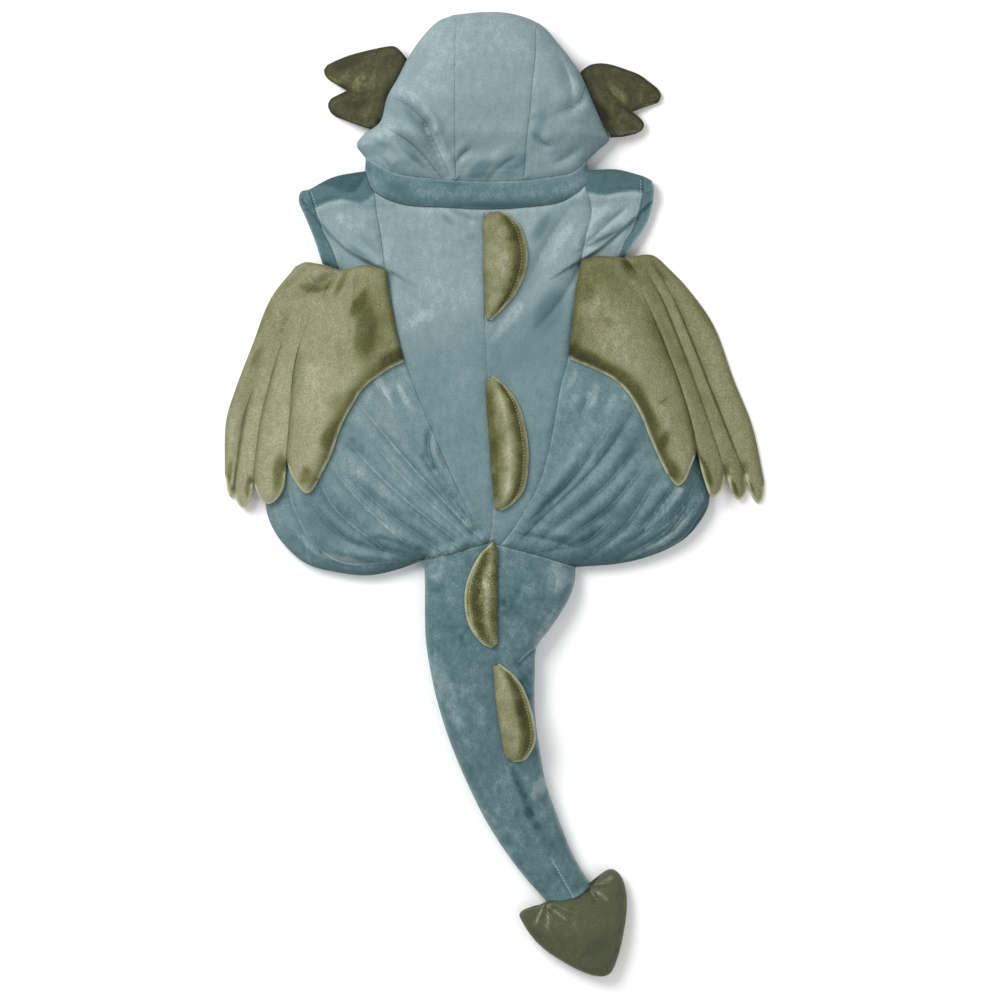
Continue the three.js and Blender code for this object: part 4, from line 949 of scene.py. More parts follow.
def cloth(node, layers, finish, nap, ring=False):
    """Cloth panel as a thin closed shell. Layers are plan grids side by side, each upper or under."""
    plan = np.concatenate([grid if k == 0 else grid[:, 1:] for k, (grid, _) in enumerate(layers)], axis=1)
    upper = np.concatenate([
        np.full(grid.shape[1] - (k > 0), top) for k, (grid, top) in enumerate(layers)
    ])
    if ring:
        plan, upper = plan[:, :-1], upper[:-1]
    plan = drawn_in(plan, ring)
    outer = np.dstack([plan, laid(plan, upper)])
    out = normals(outer, ring)
    if (out[..., 2] * np.where(upper, 1, -1)).mean() < 0:
        out = -out
    inner = outer - WALL * out
    beyond = ~inside(inner[..., :2].reshape(-1, 2)).reshape(plan.shape[:2])
    inner[beyond] = outer[beyond] - [0, 0, 0.3] * np.sign(out[beyond][:, 2:])
    rows, columns = plan.shape[:2]
    points = np.concatenate([outer.reshape(-1, 3), inner.reshape(-1, 3)])
    faces = facing_out(points, shell_faces(rows, columns, ring))
    at = plan.reshape(-1, 2)
    top = np.broadcast_to(upper, plan.shape[:2]).ravel()
    tones = {"nap": 0, "patch": 0, "rim": 0, **fold_marks(at, FOLDS)}
    tones |= nap(at, out.reshape(-1, 3))
    tones["patch"] = tones["patch"] * top
    tones["line"] = tones["line"] * top
    piece = new_piece(node + "_velour", points, faces, finish, tones)
    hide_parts(node)
    return piece


def stuffed(node, plan, top, bottom, finish, tones):
    """Stuffed piece from a plan grid with its top and its underside."""
    shape = plan.shape[:2]
    upper = np.dstack([plan, top.reshape(shape)])
    lower = np.dstack([plan, bottom.reshape(shape)])
    points = np.concatenate([upper.reshape(-1, 3), lower.reshape(-1, 3)])
    faces = facing_out(points, shell_faces(*shape, False))
    piece = new_piece(node + "_padded", points, faces, finish, tones)
    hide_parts(node)
    return piece


def evenly(points, pitch):
    """Places a pitch apart along a run."""
    length = np.concatenate([[0], np.cumsum(np.hypot(*np.diff(points, axis=0).T))])
    places = np.arange(pitch / 2, length[-1], pitch)
    return np.column_stack([np.interp(places, length, points[:, k]) for k in (0, 1)])


STITCH_PITCH = 3.6
STITCH_LENGTH = 2.5
THREAD_RADIUS = 0.32
STITCH_SHAPE = table(
    "along thick sunk",
    (-0.5, 0.35, 0.5), (-0.34, 1, 0), (0.34, 1, 0), (0.5, 0.35, 0.5),
)


def sewn(name, path, height, finish):
    """A row of stitches along a path on a surface: each a small closed length of thread."""
    at = evenly(path, STITCH_PITCH)
    centre = np.column_stack([at, height(at) + 0.1])
    ahead = np.gradient(centre, axis=0)
    ahead /= np.linalg.norm(ahead, axis=1, keepdims=True)
    across = np.cross([0, 0, 1], ahead)
    across /= np.linalg.norm(across, axis=1, keepdims=True)
    above = np.cross(ahead, across)
    rings = []
    for share, thick, sunk in rows_of(STITCH_SHAPE):
        middle = centre + ahead * share * STITCH_LENGTH - above * sunk
        for turn in range(6):
            angle = turn * math.pi / 3
            spoke = across * math.cos(angle) + above * math.sin(angle)
            rings.append(middle + spoke * THREAD_RADIUS * thick)
    points = np.stack(rings, axis=1).reshape(-1, 3)
    one = [
        [6 * ring + k, 6 * ring + (k + 1) % 6, 6 * ring + 6 + (k + 1) % 6, 6 * ring + 6 + k]
        for ring in range(3) for k in range(6)
    ]
    one += [[0, 3, 2, 1], [0, 5, 4, 3], [18, 19, 20, 21], [18, 21, 22, 23]]
    faces = (np.arange(len(at))[:, None, None] * 24 + np.array(one)[None]).reshape(-1, 4)
    new_piece(name, points, faces, finish, {})


def on_cloth(at):
    """Height of the laid cloth at some places."""
    return laid(at[None], True)[0]


# Finishes
class Wire:
    """A socket in a finish, so that its maths reads as plain Python."""

    def __init__(self, finish, socket):
        self.finish = finish
        self.socket = socket

    def maths(self, operation, a, b):
        return self.finish.node("ShaderNodeMath", {"operation": operation}, {0: a, 1: b})

    def __add__(self, other):
        return self.maths("ADD", self, other)

    __radd__ = __add__

    def __sub__(self, other):
        return self.maths("SUBTRACT", self, other)

    def __rsub__(self, other):
        return self.maths("SUBTRACT", other, self)

    def __mul__(self, other):
        return self.maths("MULTIPLY", self, other)

    __rmul__ = __mul__

    def size(self):
        """Its value without the sign."""
        return self.maths("ABSOLUTE", self, 0)

    def eased(self, low, high):
        """Rises smoothly from 0 at the low value to 1 at the high one."""
        ends = {"Value": self, "From Min": low, "From Max": high}
        return self.finish.node("ShaderNodeMapRange", {"interpolation_type": "SMOOTHSTEP"}, ends)


class Finish:
    """One of the costume's finishes: its material, its slot and the one way of making nodes."""

    def __init__(self, name, slot):
        self.slot = slot
        self.material = bpy.data.materials.new(name)
        self.material.use_nodes = True
        self.tree = self.material.node_tree
        self.shader = self.tree.nodes["Principled BSDF"]

    def node(self, kind, settings=None, sockets=None, output=0):
        made = self.tree.nodes.new(kind)
        for name, value in (settings or {}).items():
            if name == "stops":
                self.set_stops(made.color_ramp, value)
            else:
                setattr(made, name, value)
        for name, value in (sockets or {}).items():
            self.feed(made.inputs[name], value)
        return Wire(self, made.outputs[output])

    def set_stops(self, ramp, stops):
        while len(ramp.elements) < len(stops):
            ramp.elements.new(1)
        for element, (place, colour) in zip(ramp.elements, stops):
            element.position = place
            element.color = (*linear(colour), 1)

    def feed(self, socket, value):
        if isinstance(value, Wire):
            self.tree.links.new(value.socket, socket)
        else:
            socket.default_value = value

    def tone(self, name):
        """One of the values that a piece keeps at each of its points."""
        return self.node("ShaderNodeAttribute", {"attribute_name": name}, output=2)

    def noise(self, where, scale, detail=2.0, stretch=(1, 1, 1)):
        """Cloudy noise of a mean near a half, stretched along the axes."""
        place = self.node("ShaderNodeVectorMath", {"operation": "MULTIPLY"}, {0: where, 1: stretch})
        return self.node("ShaderNodeTexNoise", {}, {"Vector": place, "Scale": scale, "Detail": detail})

    def colours(self, stops, level):
        return self.node("ShaderNodeValToRGB", {"stops": stops}, {"Fac": level})

    def mixed(self, share, first, second):
        """A colour, or a colour wire, mixed with another."""
        settings = {"data_type": "RGBA", "clamp_factor": True}
        return self.node("ShaderNodeMix", settings, {0: share, 6: first, 7: second}, output=2)


def linear(colour):
    """Linear light of a colour written as in a paint chart, #rrggbb."""
    values = [int(colour[i:i + 2], 16) / 255 for i in (1, 3, 5)]
    return [v / 12.92 if v <= 0.04045 else ((v + 0.055) / 1.055) ** 2.4 for v in values]


def velour(name, slot, shades, sheen_rim_colour, sheen, mottle, speckle):
    """Brushed velour: shades from crushed nap and painted shade to raised nap and painted highlights, with
    jagged patches, painted crease lines, a painted sheen rim and pile.
    """
    finish = Finish(name, slot)
    where = finish.node("ShaderNodeTexCoord", output=3)
    nap, patch, rim = finish.tone("nap"), finish.tone("patch"), finish.tone("rim")
    crease, crease_light_and_shade = finish.tone("crease"), finish.tone("line")
    cloudy = finish.noise(where, 24, 3, (1, 0.75, 1))
    brushed = finish.noise(where, 150, 3, (1, 0.55, 1))
    grain = finish.noise(where, 760, 1.5, (1, 0.7, 1))
    jagged = ((brushed - 0.5) * 0.8 + (cloudy - 0.5) * 0.6 + (grain - 0.5) * 0.5) * (mottle * 3)
    # Lighter and darker patches with jagged borders: raised and crushed nap, and painted highlights and
    # painted shade
    raised_and_lit = (patch + jagged).eased(0.1, 0.95)
    crushed_and_shaded = (jagged + patch * -1).eased(0.1, 0.95)
    # Painted crease marks: a thin line along each crease, a painted highlight where its light is above 0 and
    # painted shade below 0, and painted shade in the fold just below it
    thin = (1 - (crease - 1.1).size() * 0.7).eased(0, 1)
    shade_below_crease = (1 - (crease + 1.6).size() * 0.32).eased(0, 1)
    level = nap + raised_and_lit * 0.16 - crushed_and_shaded * 0.32 + patch * 0.12
    level += thin * crease_light_and_shade * ((brushed - 0.5) * 0.3 + 0.36) - shade_below_crease * crease_light_and_shade.size() * 0.12
    level += ((cloudy - 0.5) * 0.8 + (brushed - 0.5)) * mottle + (grain - 0.5) * speckle
    # Painted sheen: a lighter rim along edges and seams, mixed into the base colour
    edge = rim * (0.85 + (brushed - 0.5) * 1.8)
    sheen_rim_tint = (*linear(sheen_rim_colour), 1)
    pile = grain * 0.6 + brushed * 0.9 + cloudy * 0.4
    bump = finish.node("ShaderNodeBump", {}, {"Strength": 0.35, "Distance": 0.0012, "Height": pile})
    colour = finish.mixed(edge, finish.colours(shades, level), sheen_rim_tint)
    finish.feed(finish.shader.inputs["Base Color"], colour)
    finish.feed(finish.shader.inputs["Normal"], bump)
    finish.feed(finish.shader.inputs["Roughness"], 0.92 - nap * 0.12)
    finish.shader.inputs["Specular IOR Level"].default_value = 0.18
    finish.shader.inputs["Sheen Weight"].default_value = sheen
    finish.shader.inputs["Sheen Roughness"].default_value = 0.35
    finish.shader.inputs["Sheen Tint"].default_value = sheen_rim_tint
    return finish


def sewing_thread(name, slot, dark, light):
    """Spun thread: a twist of lighter and darker fibres."""
    finish = Finish(name, slot)
    where = finish.node("ShaderNodeTexCoord", output=3)
    twist = finish.noise(where, 2600, 2)
    finish.feed(finish.shader.inputs["Base Color"], finish.colours([(0.3, dark), (0.7, light)], twist))
    finish.shader.inputs["Roughness"].default_value = 0.75
    return finish


# Colours of each cloth, from crushed nap and painted shade to raised nap and painted highlights
BLUE_SHADES = [
    (0.0, "#2a4145"), (0.2, "#3d575c"), (0.45, "#506a6e"),
    (0.65, "#677e81"), (0.85, "#7d8f92"), (1.0, "#95a4a6"),
]
OLIVE_SHADES = [
    (0.0, "#33341c"), (0.25, "#4e4f2d"), (0.5, "#6d6e4b"), (0.7, "#838368"), (1.0, "#a6a688"),
]
DARK_OLIVE_SHADES = [
    (0.0, "#24261a"), (0.3, "#3b3c29"), (0.55, "#515339"), (0.8, "#747553"), (1.0, "#999a76"),
]
GREY_OLIVE_SHADES = [
    (0.0, "#24281e"), (0.3, "#3c4030"), (0.55, "#50543f"), (0.8, "#6f725b"), (1.0, "#8f9279"),
]
# Each cloth's second colour is the painted sheen on its rims and seams, and also the tint of its shader's
# own sheen
PALE_BLUE = velour("pale blue velour", "velour_pale_blue", BLUE_SHADES, "#a9b6b7", 0.08, 0.22, 0.34)
TEAL = velour("teal velour", "velour_teal", BLUE_SHADES, "#9db2b5", 0.10, 0.32, 0.5)
OLIVE = velour("olive velour", "velour_olive", OLIVE_SHADES, "#c6c6a0", 0.08, 0.24, 0.62)
ROUGH_OLIVE = velour("ruffled olive velour", "velour_olive", OLIVE_SHADES, "#c6c6a0", 0.08, 0.7, 1.1)
GREY_OLIVE = velour("grey olive velour", "velour_dark_olive", GREY_OLIVE_SHADES, "#8d907a", 0.10, 0.22, 0.34)
DARK_OLIVE = velour("dark olive velour", "velour_dark_olive", DARK_OLIVE_SHADES, "#8b8d64", 0.14, 0.42, 0.5)
PALE_THREAD = sewing_thread("pale blue thread", "velour_pale_blue", "#8fa3a6", "#c3cfd0")
TEAL_THREAD = sewing_thread("teal thread", "velour_teal", "#86a0a3", "#b6c6c8")
OLIVE_THREAD = sewing_thread("olive thread", "velour_olive", "#96966a", "#bcbc90")


# Nap and painted shading: how light the cloth is drawn, from 0, dark with crushed nap and painted shade, to
# 1, light with raised nap and painted highlights; patches of it are ovals, turned by an angle in degrees,
# lighter or, below 0, darker; besides the nap's own patches they paint shade in creases, beside the spines
# and at the wings' lobes, and highlights on ridges
PATCH_COLUMNS = "x y long short angle light"
HOOD_NAP_AND_SHADING = table(
    PATCH_COLUMNS,
    (-15, 358, 24, 11, 38, -0.6),
    (23, 364, 28, 12, 25, -0.65),
    (4, 350, 52, 6, 2, -0.4),
    (54, 430, 26, 12, 76, -0.3),
    (49, 402, 26, 10, 70, -0.45),
    (70, 383, 30, 9, 60, -0.35),
    (-126, 379, 20, 12, 20, -0.4),
    (-101, 362, 26, 10, 25, -0.4),
    (-106, 421, 34, 13, -35, -0.35),
    (-90, 434, 32, 11, -32, 0.4),
    (-60, 392, 40, 12, 95, 0.35),
    (93, 436, 40, 15, -70, 0.5),
    (80, 448, 30, 9, -75, -0.3),
    (104, 399, 30, 14, 30, -0.2),
    (-118, 398, 26, 10, 10, 0.4),
    (-84, 470, 40, 10, 60, -0.25),
    (-79, 391, 42, 8, -62, -0.35),
    (-92, 373, 36, 5, -43, -0.5),
    (-68, 386, 34, 8, -62, 0.25),
    (-104, 388, 26, 6, -38, 0.3),
    (90, 412, 30, 8, 25, -0.2),
)
COLLAR_NAP_AND_SHADING = table(
    PATCH_COLUMNS,
    (-104, 335, 26, 10, -22, -0.5),
    (-68, 330, 42, 8, -6, 0.3),
    (-20, 328, 34, 7, 0, 0.3),
    (28, 329, 38, 8, 2, 0.3),
    (75, 336, 26, 7, 14, 0.3),
    (0, 318, 70, 5, 0, -0.5),
    (-50, 341, 40, 4, -3, -0.4),
)
BACK_NAP_AND_SHADING = table(
    PATCH_COLUMNS,
    (-50, 301, 14, 6, -40, -0.5),
    (-38, 309, 18, 5, -20, -0.4),
    (52, 294, 28, 10, 58, -0.6),
    (72, 276, 44, 9, 58, 0.5),
    (44, 240, 44, 11, 52, -0.35),
    (62, 202, 44, 24, 62, -0.5),
    (16, 192, 46, 10, 52, 0.6),
    (-84, 236, 40, 10, 60, -0.25),
    (-60, 205, 50, 12, 40, 0.25),
    (-60, 255, 60, 36, 60, 0.12),
    (-88, 190, 24, 7, 40, 0.45),
    (-25, 283, 10, 8, 0, -0.4),
    (38, 156, 40, 30, 0, -0.2),
    (-40, 120, 34, 14, 50, 0.25),
)
SIDE_NAP_AND_SHADING = table(
    PATCH_COLUMNS,
    (-124, 119, 26, 8, -58, 0.9),
    (-98, 106, 26, 6, -62, 0.8),
    (-150, 60, 50, 20, -45, -0.3),
    (-185, -36, 50, 16, -32, -0.25),
    (-120, -30, 50, 14, -36, 0.35),
    (-163, -72, 44, 6, -14, 0.9),
    (-206, -52, 26, 5, -45, 0.7),
    (-134, 14, 60, 9, -42, 0.4),
    (-74, 40, 40, 9, -52, -0.4),
    (108, 108, 26, 9, 62, 0.9),
    (128, 98, 22, 7, 65, 0.7),
    (86, 128, 18, 6, 70, 0.5),
    (150, 56, 60, 18, 52, -0.3),
    (96, 62, 40, 12, 60, 0.35),
    (192, -44, 40, 8, 42, 0.8),
    (160, -62, 36, 5, 28, 0.8),
    (108, -34, 50, 15, 38, -0.5),
    (220, -14, 34, 8, 60, 0.8),
    (206, 12, 30, 7, 60, 0.6),
    (60, 6, 30, 9, 52, 0.35),
)
SLEEVE_NAP_AND_SHADING = table(
    PATCH_COLUMNS,
    (-160, 300, 30, 10, -30, 0.4),
    (-188, 290, 30, 8, -60, -0.4),
    (-145, 262, 28, 7, -40, -0.5),
    (128, 312, 30, 8, 30, 0.5),
    (120, 280, 24, 6, 30, -0.6),
    (150, 292, 26, 7, 60, -0.4),
)
TAIL_NAP_AND_SHADING = table(
    PATCH_COLUMNS,
    (-62, -78, 24, 16, 60, 0.7),
    (70, -88, 34, 22, -50, 0.55),
    (56, -146, 34, 9, 60, 0.8),
    (14, -120, 26, 22, 0, -0.3),
    (-56, -206, 50, 14, -72, 0.75),
    (-34, -262, 44, 8, -66, 0.4),
    (30, -206, 34, 11, -75, -0.5),
    (-28, -150, 40, 24, 80, -0.25),
    (49, -324, 26, 10, 55, 0.8),
    (30, -322, 40, 8, -66, -0.6),
    (44, -360, 34, 8, -62, -0.5),
    (-8, -352, 40, 7, -58, 0.5),
    (10, -384, 34, 6, -52, 0.45),
    (8, -300, 30, 12, -70, 0.35),
)
TIP_NAP_AND_SHADING = table(
    PATCH_COLUMNS,
    (48, -465, 15, 4, 62, 0.8),
    (58, -468, 17, 3, -85, 0.8),
    (72, -462, 14, 3, -35, 0.6),
    (119, -441, 15, 4, -42, 0.8),
    (124, -424, 14, 4, 30, 0.7),
    (88, -476, 22, 12, 40, 0.3),
    (112, -496, 26, 14, 30, -0.35),
    (46, -484, 18, 8, -50, -0.3),
)
WING_NAP_AND_SHADING_LEFT = table(
    PATCH_COLUMNS,
    (-141, 182, 52, 17, 84, -0.7),
    (-146, 214, 24, 8, 62, -0.5),
    (-128, 176, 40, 14, 70, -0.4),
    (-152, 205, 20, 7, 60, -0.5),
    (-186, 230, 20, 8, 30, -0.45),
    (-204, 228, 18, 8, -20, -0.4),
    (-168, 232, 24, 6, 62, -0.6),
    (-218, 240, 30, 6, 40, -0.4),
    (-252, 196, 34, 7, 62, -0.4),
    (-262, 152, 22, 7, 62, -0.5),
    (-176, 104, 18, 9, 60, -0.35),
    (-184, 62, 14, 8, 60, -0.35),
    (-236, 26, 34, 10, 82, -0.8),
    (-270, 8, 18, 6, 84, -0.8),
    (-291, 26, 22, 4, 84, -0.7),
    (-208, 20, 16, 8, 70, -0.6),
    (-195, 150, 50, 18, 76, 0.35),
)
WING_NAP_AND_SHADING_RIGHT = table(
    PATCH_COLUMNS,
    (101, 220, 20, 9, 52, -0.5),
    (125, 190, 10, 7, 0, -0.6),
    (92, 176, 26, 6, 80, -0.35),
    (150, 246, 26, 9, -45, -0.5),
    (182, 246, 24, 6, -50, -0.4),
    (188, 62, 20, 7, 62, -0.5),
    (232, 24, 28, 8, -72, -1.0),
    (263, 8, 17, 6, -66, -0.9),
    (283, 6, 17, 5, -70, -0.9),
    (196, 160, 70, 9, -66, -0.3),
    (224, 120, 70, 8, -66, -0.3),
    (232, 198, 30, 8, -55, -0.4),
    (130, 172, 60, 28, -60, 0.3),
    (104, 212, 40, 18, 80, 0.4),
    (188, 82, 40, 9, -58, 0.4),
)


def patches(at, spots):
    """The soft patches of a table, each full in its middle and gone at its border."""
    total = np.zeros(len(at))
    for x, y, long, short, angle, light in rows_of(spots):
        turn = math.radians(angle)
        dx, dy = at[:, 0] - x, at[:, 1] - y
        lengthwise = (dx * math.cos(turn) + dy * math.sin(turn)) / long
        sideways = (-dx * math.sin(turn) + dy * math.cos(turn)) / short
        total += light * (1 - ease(np.hypot(lengthwise, sideways) * 1.5 - 0.5))
    return total


def hood_nap_and_shading(at, out):
    # Painted light: lighter where the cloth faces towards the hood and to the left, on the lamp's side, and
    # darker where it stands steep
    level = 0.82 + 0.12 * out[:, 1] - 0.10 * out[:, 0] - 0.12 * (1 - np.abs(out[:, 2]))
    return {"nap": level, "patch": patches(at, HOOD_NAP_AND_SHADING)}


def collar_nap_and_shading(at, out):
    # Painted light: lighter where the band faces towards the hood, on the lamp's side, with a painted sheen
    # along its seam to the hood
    rim = bell(away_from(at, [HOOD_NECK_RUN]), 1.3)
    return {"nap": 0.50 + 0.16 * out[:, 1], "patch": patches(at, COLLAR_NAP_AND_SHADING), "rim": 0.6 * rim}


def back_nap_and_shading(at, out):
    """Pale above and darker below, from lower on the left than on the right."""
    fall = ease((at[:, 1] - 148 - 0.3 * at[:, 0]) / 85)
    # Painted light: lighter where the cloth faces towards the hood and to the left, on the lamp's side, and
    # a painted sheen along the centre seam
    level = mix(0.63, 0.84, fall) + 0.2 * out[:, 1] - 0.1 * out[:, 0]
    rim = 0.35 * bell(away_from(at, [CENTRE_RUN]), 0.9)
    return {"nap": level, "patch": patches(at, BACK_NAP_AND_SHADING), "rim": rim}


def side_nap_and_shading(at, out):
    # Lighter on the left and towards the top, with painted light: lighter where the cloth faces towards the
    # hood and to the left, on the lamp's side, and a painted sheen beside the lower princess seams
    level = mix(0.59, 0.48, ease(at[:, 0] / 120 + 0.5)) + 0.28 * out[:, 1] - 0.12 * out[:, 0]
    level += 0.08 * ease((at[:, 1] + 10) / 90)
    rim = 0.3 * bell(away_from(at, PRINCESS) - 0.8, 0.8) * ease((150 - at[:, 1]) / 40)
    brushed = 0.22 * uneven(at, 17, 54) + 0.18 * uneven(at, 6, 55)
    return {"nap": level, "patch": patches(at, SIDE_NAP_AND_SHADING) + brushed, "rim": rim}


def plain_nap_and_shading(at, out):
    # Painted light: lighter where the panel faces towards the hood, on the lamp's side
    return {"nap": 0.5 + 0.1 * out[:, 1]}


# Lines across the sleeves above which the cloth belongs to the darker front of the shoulder
BAND_LEFT = line(table(
    "x y",
    (-220, 306), (-197, 316), (-180, 324), (-167, 325), (-148, 320), (-141, 322), (-126, 334),
))
FRONT_LEFT = line(table(
    "x y",
    (-215, 343), (-197, 342), (-181, 339), (-153, 331), (-142, 347), (-132, 362),
))
BAND_RIGHT = line(table(
    "x y",
    (84, 330), (104, 331), (122, 329), (140, 333), (154, 335), (162, 333), (185, 345),
))


def above_line(at, points):
    """1 above a line that runs from left to right, 0 below it, with a soft change."""
    distance, side, _, _ = nearest(at, [points])
    return ease(0.5 - side * distance / 5)


def sleeve_nap_and_shading(at, out):
    # Painted light: lighter where the cloth faces towards the hood and to the left, on the lamp's side
    level = 0.80 + 0.25 * out[:, 1] - 0.12 * out[:, 0]
    left = mix(mix(level, 0.36, above_line(at, BAND_LEFT)), 0.14, above_line(at, FRONT_LEFT))
    right = mix(level + 0.14, 0.34, above_line(at, BAND_RIGHT))
    return {"nap": np.where(at[:, 0] < 0, left, right), "patch": patches(at, SLEEVE_NAP_AND_SHADING)}


def hem_nap_and_shading(at, out):
    border = [run(line(SLEEVE_LEFT, "hem"), 24), run(line(SLEEVE_RIGHT, "hem"), 24)]
    # Painted light: lighter facing towards the hood, on the lamp's side, with a painted sheen along the
    # hem's edge
    return {"nap": 0.40 + 0.1 * out[:, 1], "rim": 0.5 * bell(away_from(at, border), 1.6)}


# Hood: two sides and the strip between them, turned under round the face opening
FACE_CENTRE = (-8, 424)
FACE_HALF = (62, 66)
STRIP_ANGLE = 0.52


def face_opening(angles):
    return np.column_stack([
        FACE_CENTRE[0] + FACE_HALF[0] * np.cos(angles),
        FACE_CENTRE[1] + FACE_HALF[1] * np.sin(angles),
    ])


# Shares of the way from the outer edge in under the garment, close together where it rounds
UNDER_WAYS = np.array([0, 0.02, 0.05, 0.09, 0.15, 0.23, 0.33, 0.45, 0.6, 0.76, 0.9, 1])


def hood_side(node, stations, side):
    down = crowded(78, 0.6, 0.3)
    across = crowded(46, 0.5, 0.8)
    seam = along(line(stations, "seam"), down)
    edge = along(line(stations, "edge"), down)
    neck_from, neck_to = (HOOD_SEAMS[0], 0) if side < 0 else (HOOD_SEAMS[1], COLLAR_LAST)
    start = curve(line(COLLAR, "hood"), mix(neck_from, neck_to, across))
    end = mix(seam[-1], edge[-1], across[:, None])
    if side > 0:
        angles = mix(-math.pi / 2, math.pi / 2 - STRIP_ANGLE, down)
    else:
        angles = mix(-math.pi / 2, -1.5 * math.pi + STRIP_ANGLE, down)
    under = blend(edge, face_opening(angles), UNDER_WAYS)
    chin = curve(line(COLLAR, "hood"), mix(neck_to, COLLAR_MIDDLE, UNDER_WAYS))
    chin[:, 1] += 0.5 * np.sin(math.pi * UNDER_WAYS)
    settle = ease(down / 0.067)[:, None, None]
    under = mix(chin[None] + (under - under[:1]), under, settle)
    under[0] = chin
    layers = [(patch(seam, edge, start, end, down), True), (under, False)]
    cloth(node, layers, PALE_BLUE, hood_nap_and_shading)


def hood_centre():
    """The strip over the head: its sides run up the hood's seams, then for a last bit to the crown."""
    across = crowded(34, 0.5, 0.5)
    down = crowded(84, 0.6, 0.4)
    sides = []
    for stations in (HOOD_LEFT, HOOD_RIGHT):
        seam = line(stations, "seam")
        crown = line(stations, "edge")[-1]
        place = down * 16
        on_seam = curve(seam, np.clip(place / 15 * 9, 0, 9))
        beyond = mix(seam[-1], crown, np.clip(place - 15, 0, 1)[:, None])
        sides.append(np.where((place < 15)[:, None], on_seam, beyond))
    neck = curve(line(COLLAR, "hood"), mix(*HOOD_SEAMS, across))
    crown = along(line(CROWN_EDGE), across)
    top = patch(*sides, neck, crown, down)
    angles = math.pi / 2 + mix(STRIP_ANGLE, -STRIP_ANGLE, across)
    under = blend(crown, face_opening(angles), UNDER_WAYS)
    layers = [(top.transpose(1, 0, 2), True), (under, False)]
    cloth("hood_centre", layers, PALE_BLUE, hood_nap_and_shading)


def ring_layers(grid):
    return [(grid, True), (grid[:, ::-1], False)]


def collar_band():
    across = np.linspace(0, 1, 97)
    hood = along(line(COLLAR, "hood"), across)
    body = along(line(COLLAR, "body"), across)
    grid = blend(hood, body, crowded(14, 0.6, 0.6)).transpose(1, 0, 2)
    cloth("collar", ring_layers(grid), TEAL, collar_nap_and_shading, ring=True)


def back_centre(node, sleeve, body, neck_to, tail_to):
    down = crowded(150, 0.4, 0.4)
    across = crowded(44, 0.5, 0.5)
    middle = along(line(CENTRE_SEAM), down)
    outer = side_seam(sleeve, body, down)
    neck = curve(line(COLLAR, "body"), mix(COLLAR_MIDDLE, neck_to, across))
    tail = curve(line(TAIL_SEAM), mix(TAIL_MIDDLE, tail_to, across))
    layers = [(patch(middle, outer, neck, tail, down), True)]
    cloth(node, layers, PALE_BLUE, back_nap_and_shading)


def turned_under(edge, side):
    """The inner line of the back's turned hem: a tuck at the side, more at the leg."""
    ahead = np.gradient(edge, axis=0)
    ahead /= np.linalg.norm(ahead, axis=1, keepdims=True)
    inward = np.column_stack([-ahead[:, 1], ahead[:, 0]]) * -side
    station = np.linspace(0, BODY_PLACES, len(edge))
    width = mix(SIDE_SEAM_TUCK, LEG_HEM_TURN, ease((station - 6) / 2.5))
    return edge + inward * width[:, None]


def back_side(node, body, side, tail_from, tail_to):
    down = crowded(170, 0.3, 0.4)
    across = crowded(96, 0.3, 0.9)
    seam = along(line(body, "seam"), down)
    edge = along(line(body, "edge"), down)
    start = mix(seam[0], edge[0], across[:, None])
    end = curve(line(TAIL_SEAM), mix(tail_from, tail_to, across))
    coarse = turned_under(run(line(body, "edge"), 26), side)
    coarse[-1] = curve(line(TAIL_SEAM), [mix(tail_to, tail_from, LEG_HEM_TURN / 66)])[0]
    hem = along(coarse, down)
    under = blend(edge, hem, UNDER_WAYS)
    layers = [(patch(seam, edge, start, end, down), True), (under, False)]
    cloth(node, layers, TEAL, side_nap_and_shading)
    return coarse


def front_panel(node, sleeve, side, neck_to, hem):
    arm = arm_curve(sleeve, np.linspace(0, 3, 7))
    underarm = mix(arm[-1], hem[0], np.array([[0.5], [1.0]]))
    outer = np.vstack([arm, underarm, hem[1:14]])
    down = np.linspace(0, 1, 64)
    across = np.linspace(0, 1, 37)
    middle = spread(np.array([[-10, 312], [-4, -51.5]]), down)
    neck = curve(line(COLLAR, "body"), mix(COLLAR_MIDDLE, neck_to, across)) - [0, 1]
    neck[-1] = outer[0]
    leg = np.array([
        middle[-1],
        [-4 + side * 26, -57.5],
        [-4 + side * 62, -36],
        [-4 + side * 120, -10],
        [-4 + side * 180, 2],
        outer[-1],
    ])
    grid = patch(middle, spread(outer, down), neck, along(leg, across), down)
    cloth(node, [(grid, False)], TEAL, plain_nap_and_shading)


def sleeve_top(sleeve, neck_from, neck_to, around):
    """The whole way round the top of a sleeve, where it meets the collar and the armhole."""
    place = around * 11
    neck = curve(line(COLLAR, "body"), mix(neck_from, neck_to, np.clip(place / 3, 0, 1)))
    arm = arm_curve(sleeve, np.clip((place - 3) / 2, 0, 3))
    ends = line(sleeve, "arm")[5:7]
    under = mix(ends[0], ends[1], np.clip((place - 9) / 2, 0, 1)[:, None])
    low = (place >= 9)[:, None]
    return np.where((place < 3)[:, None], neck, np.where(low, under, arm))


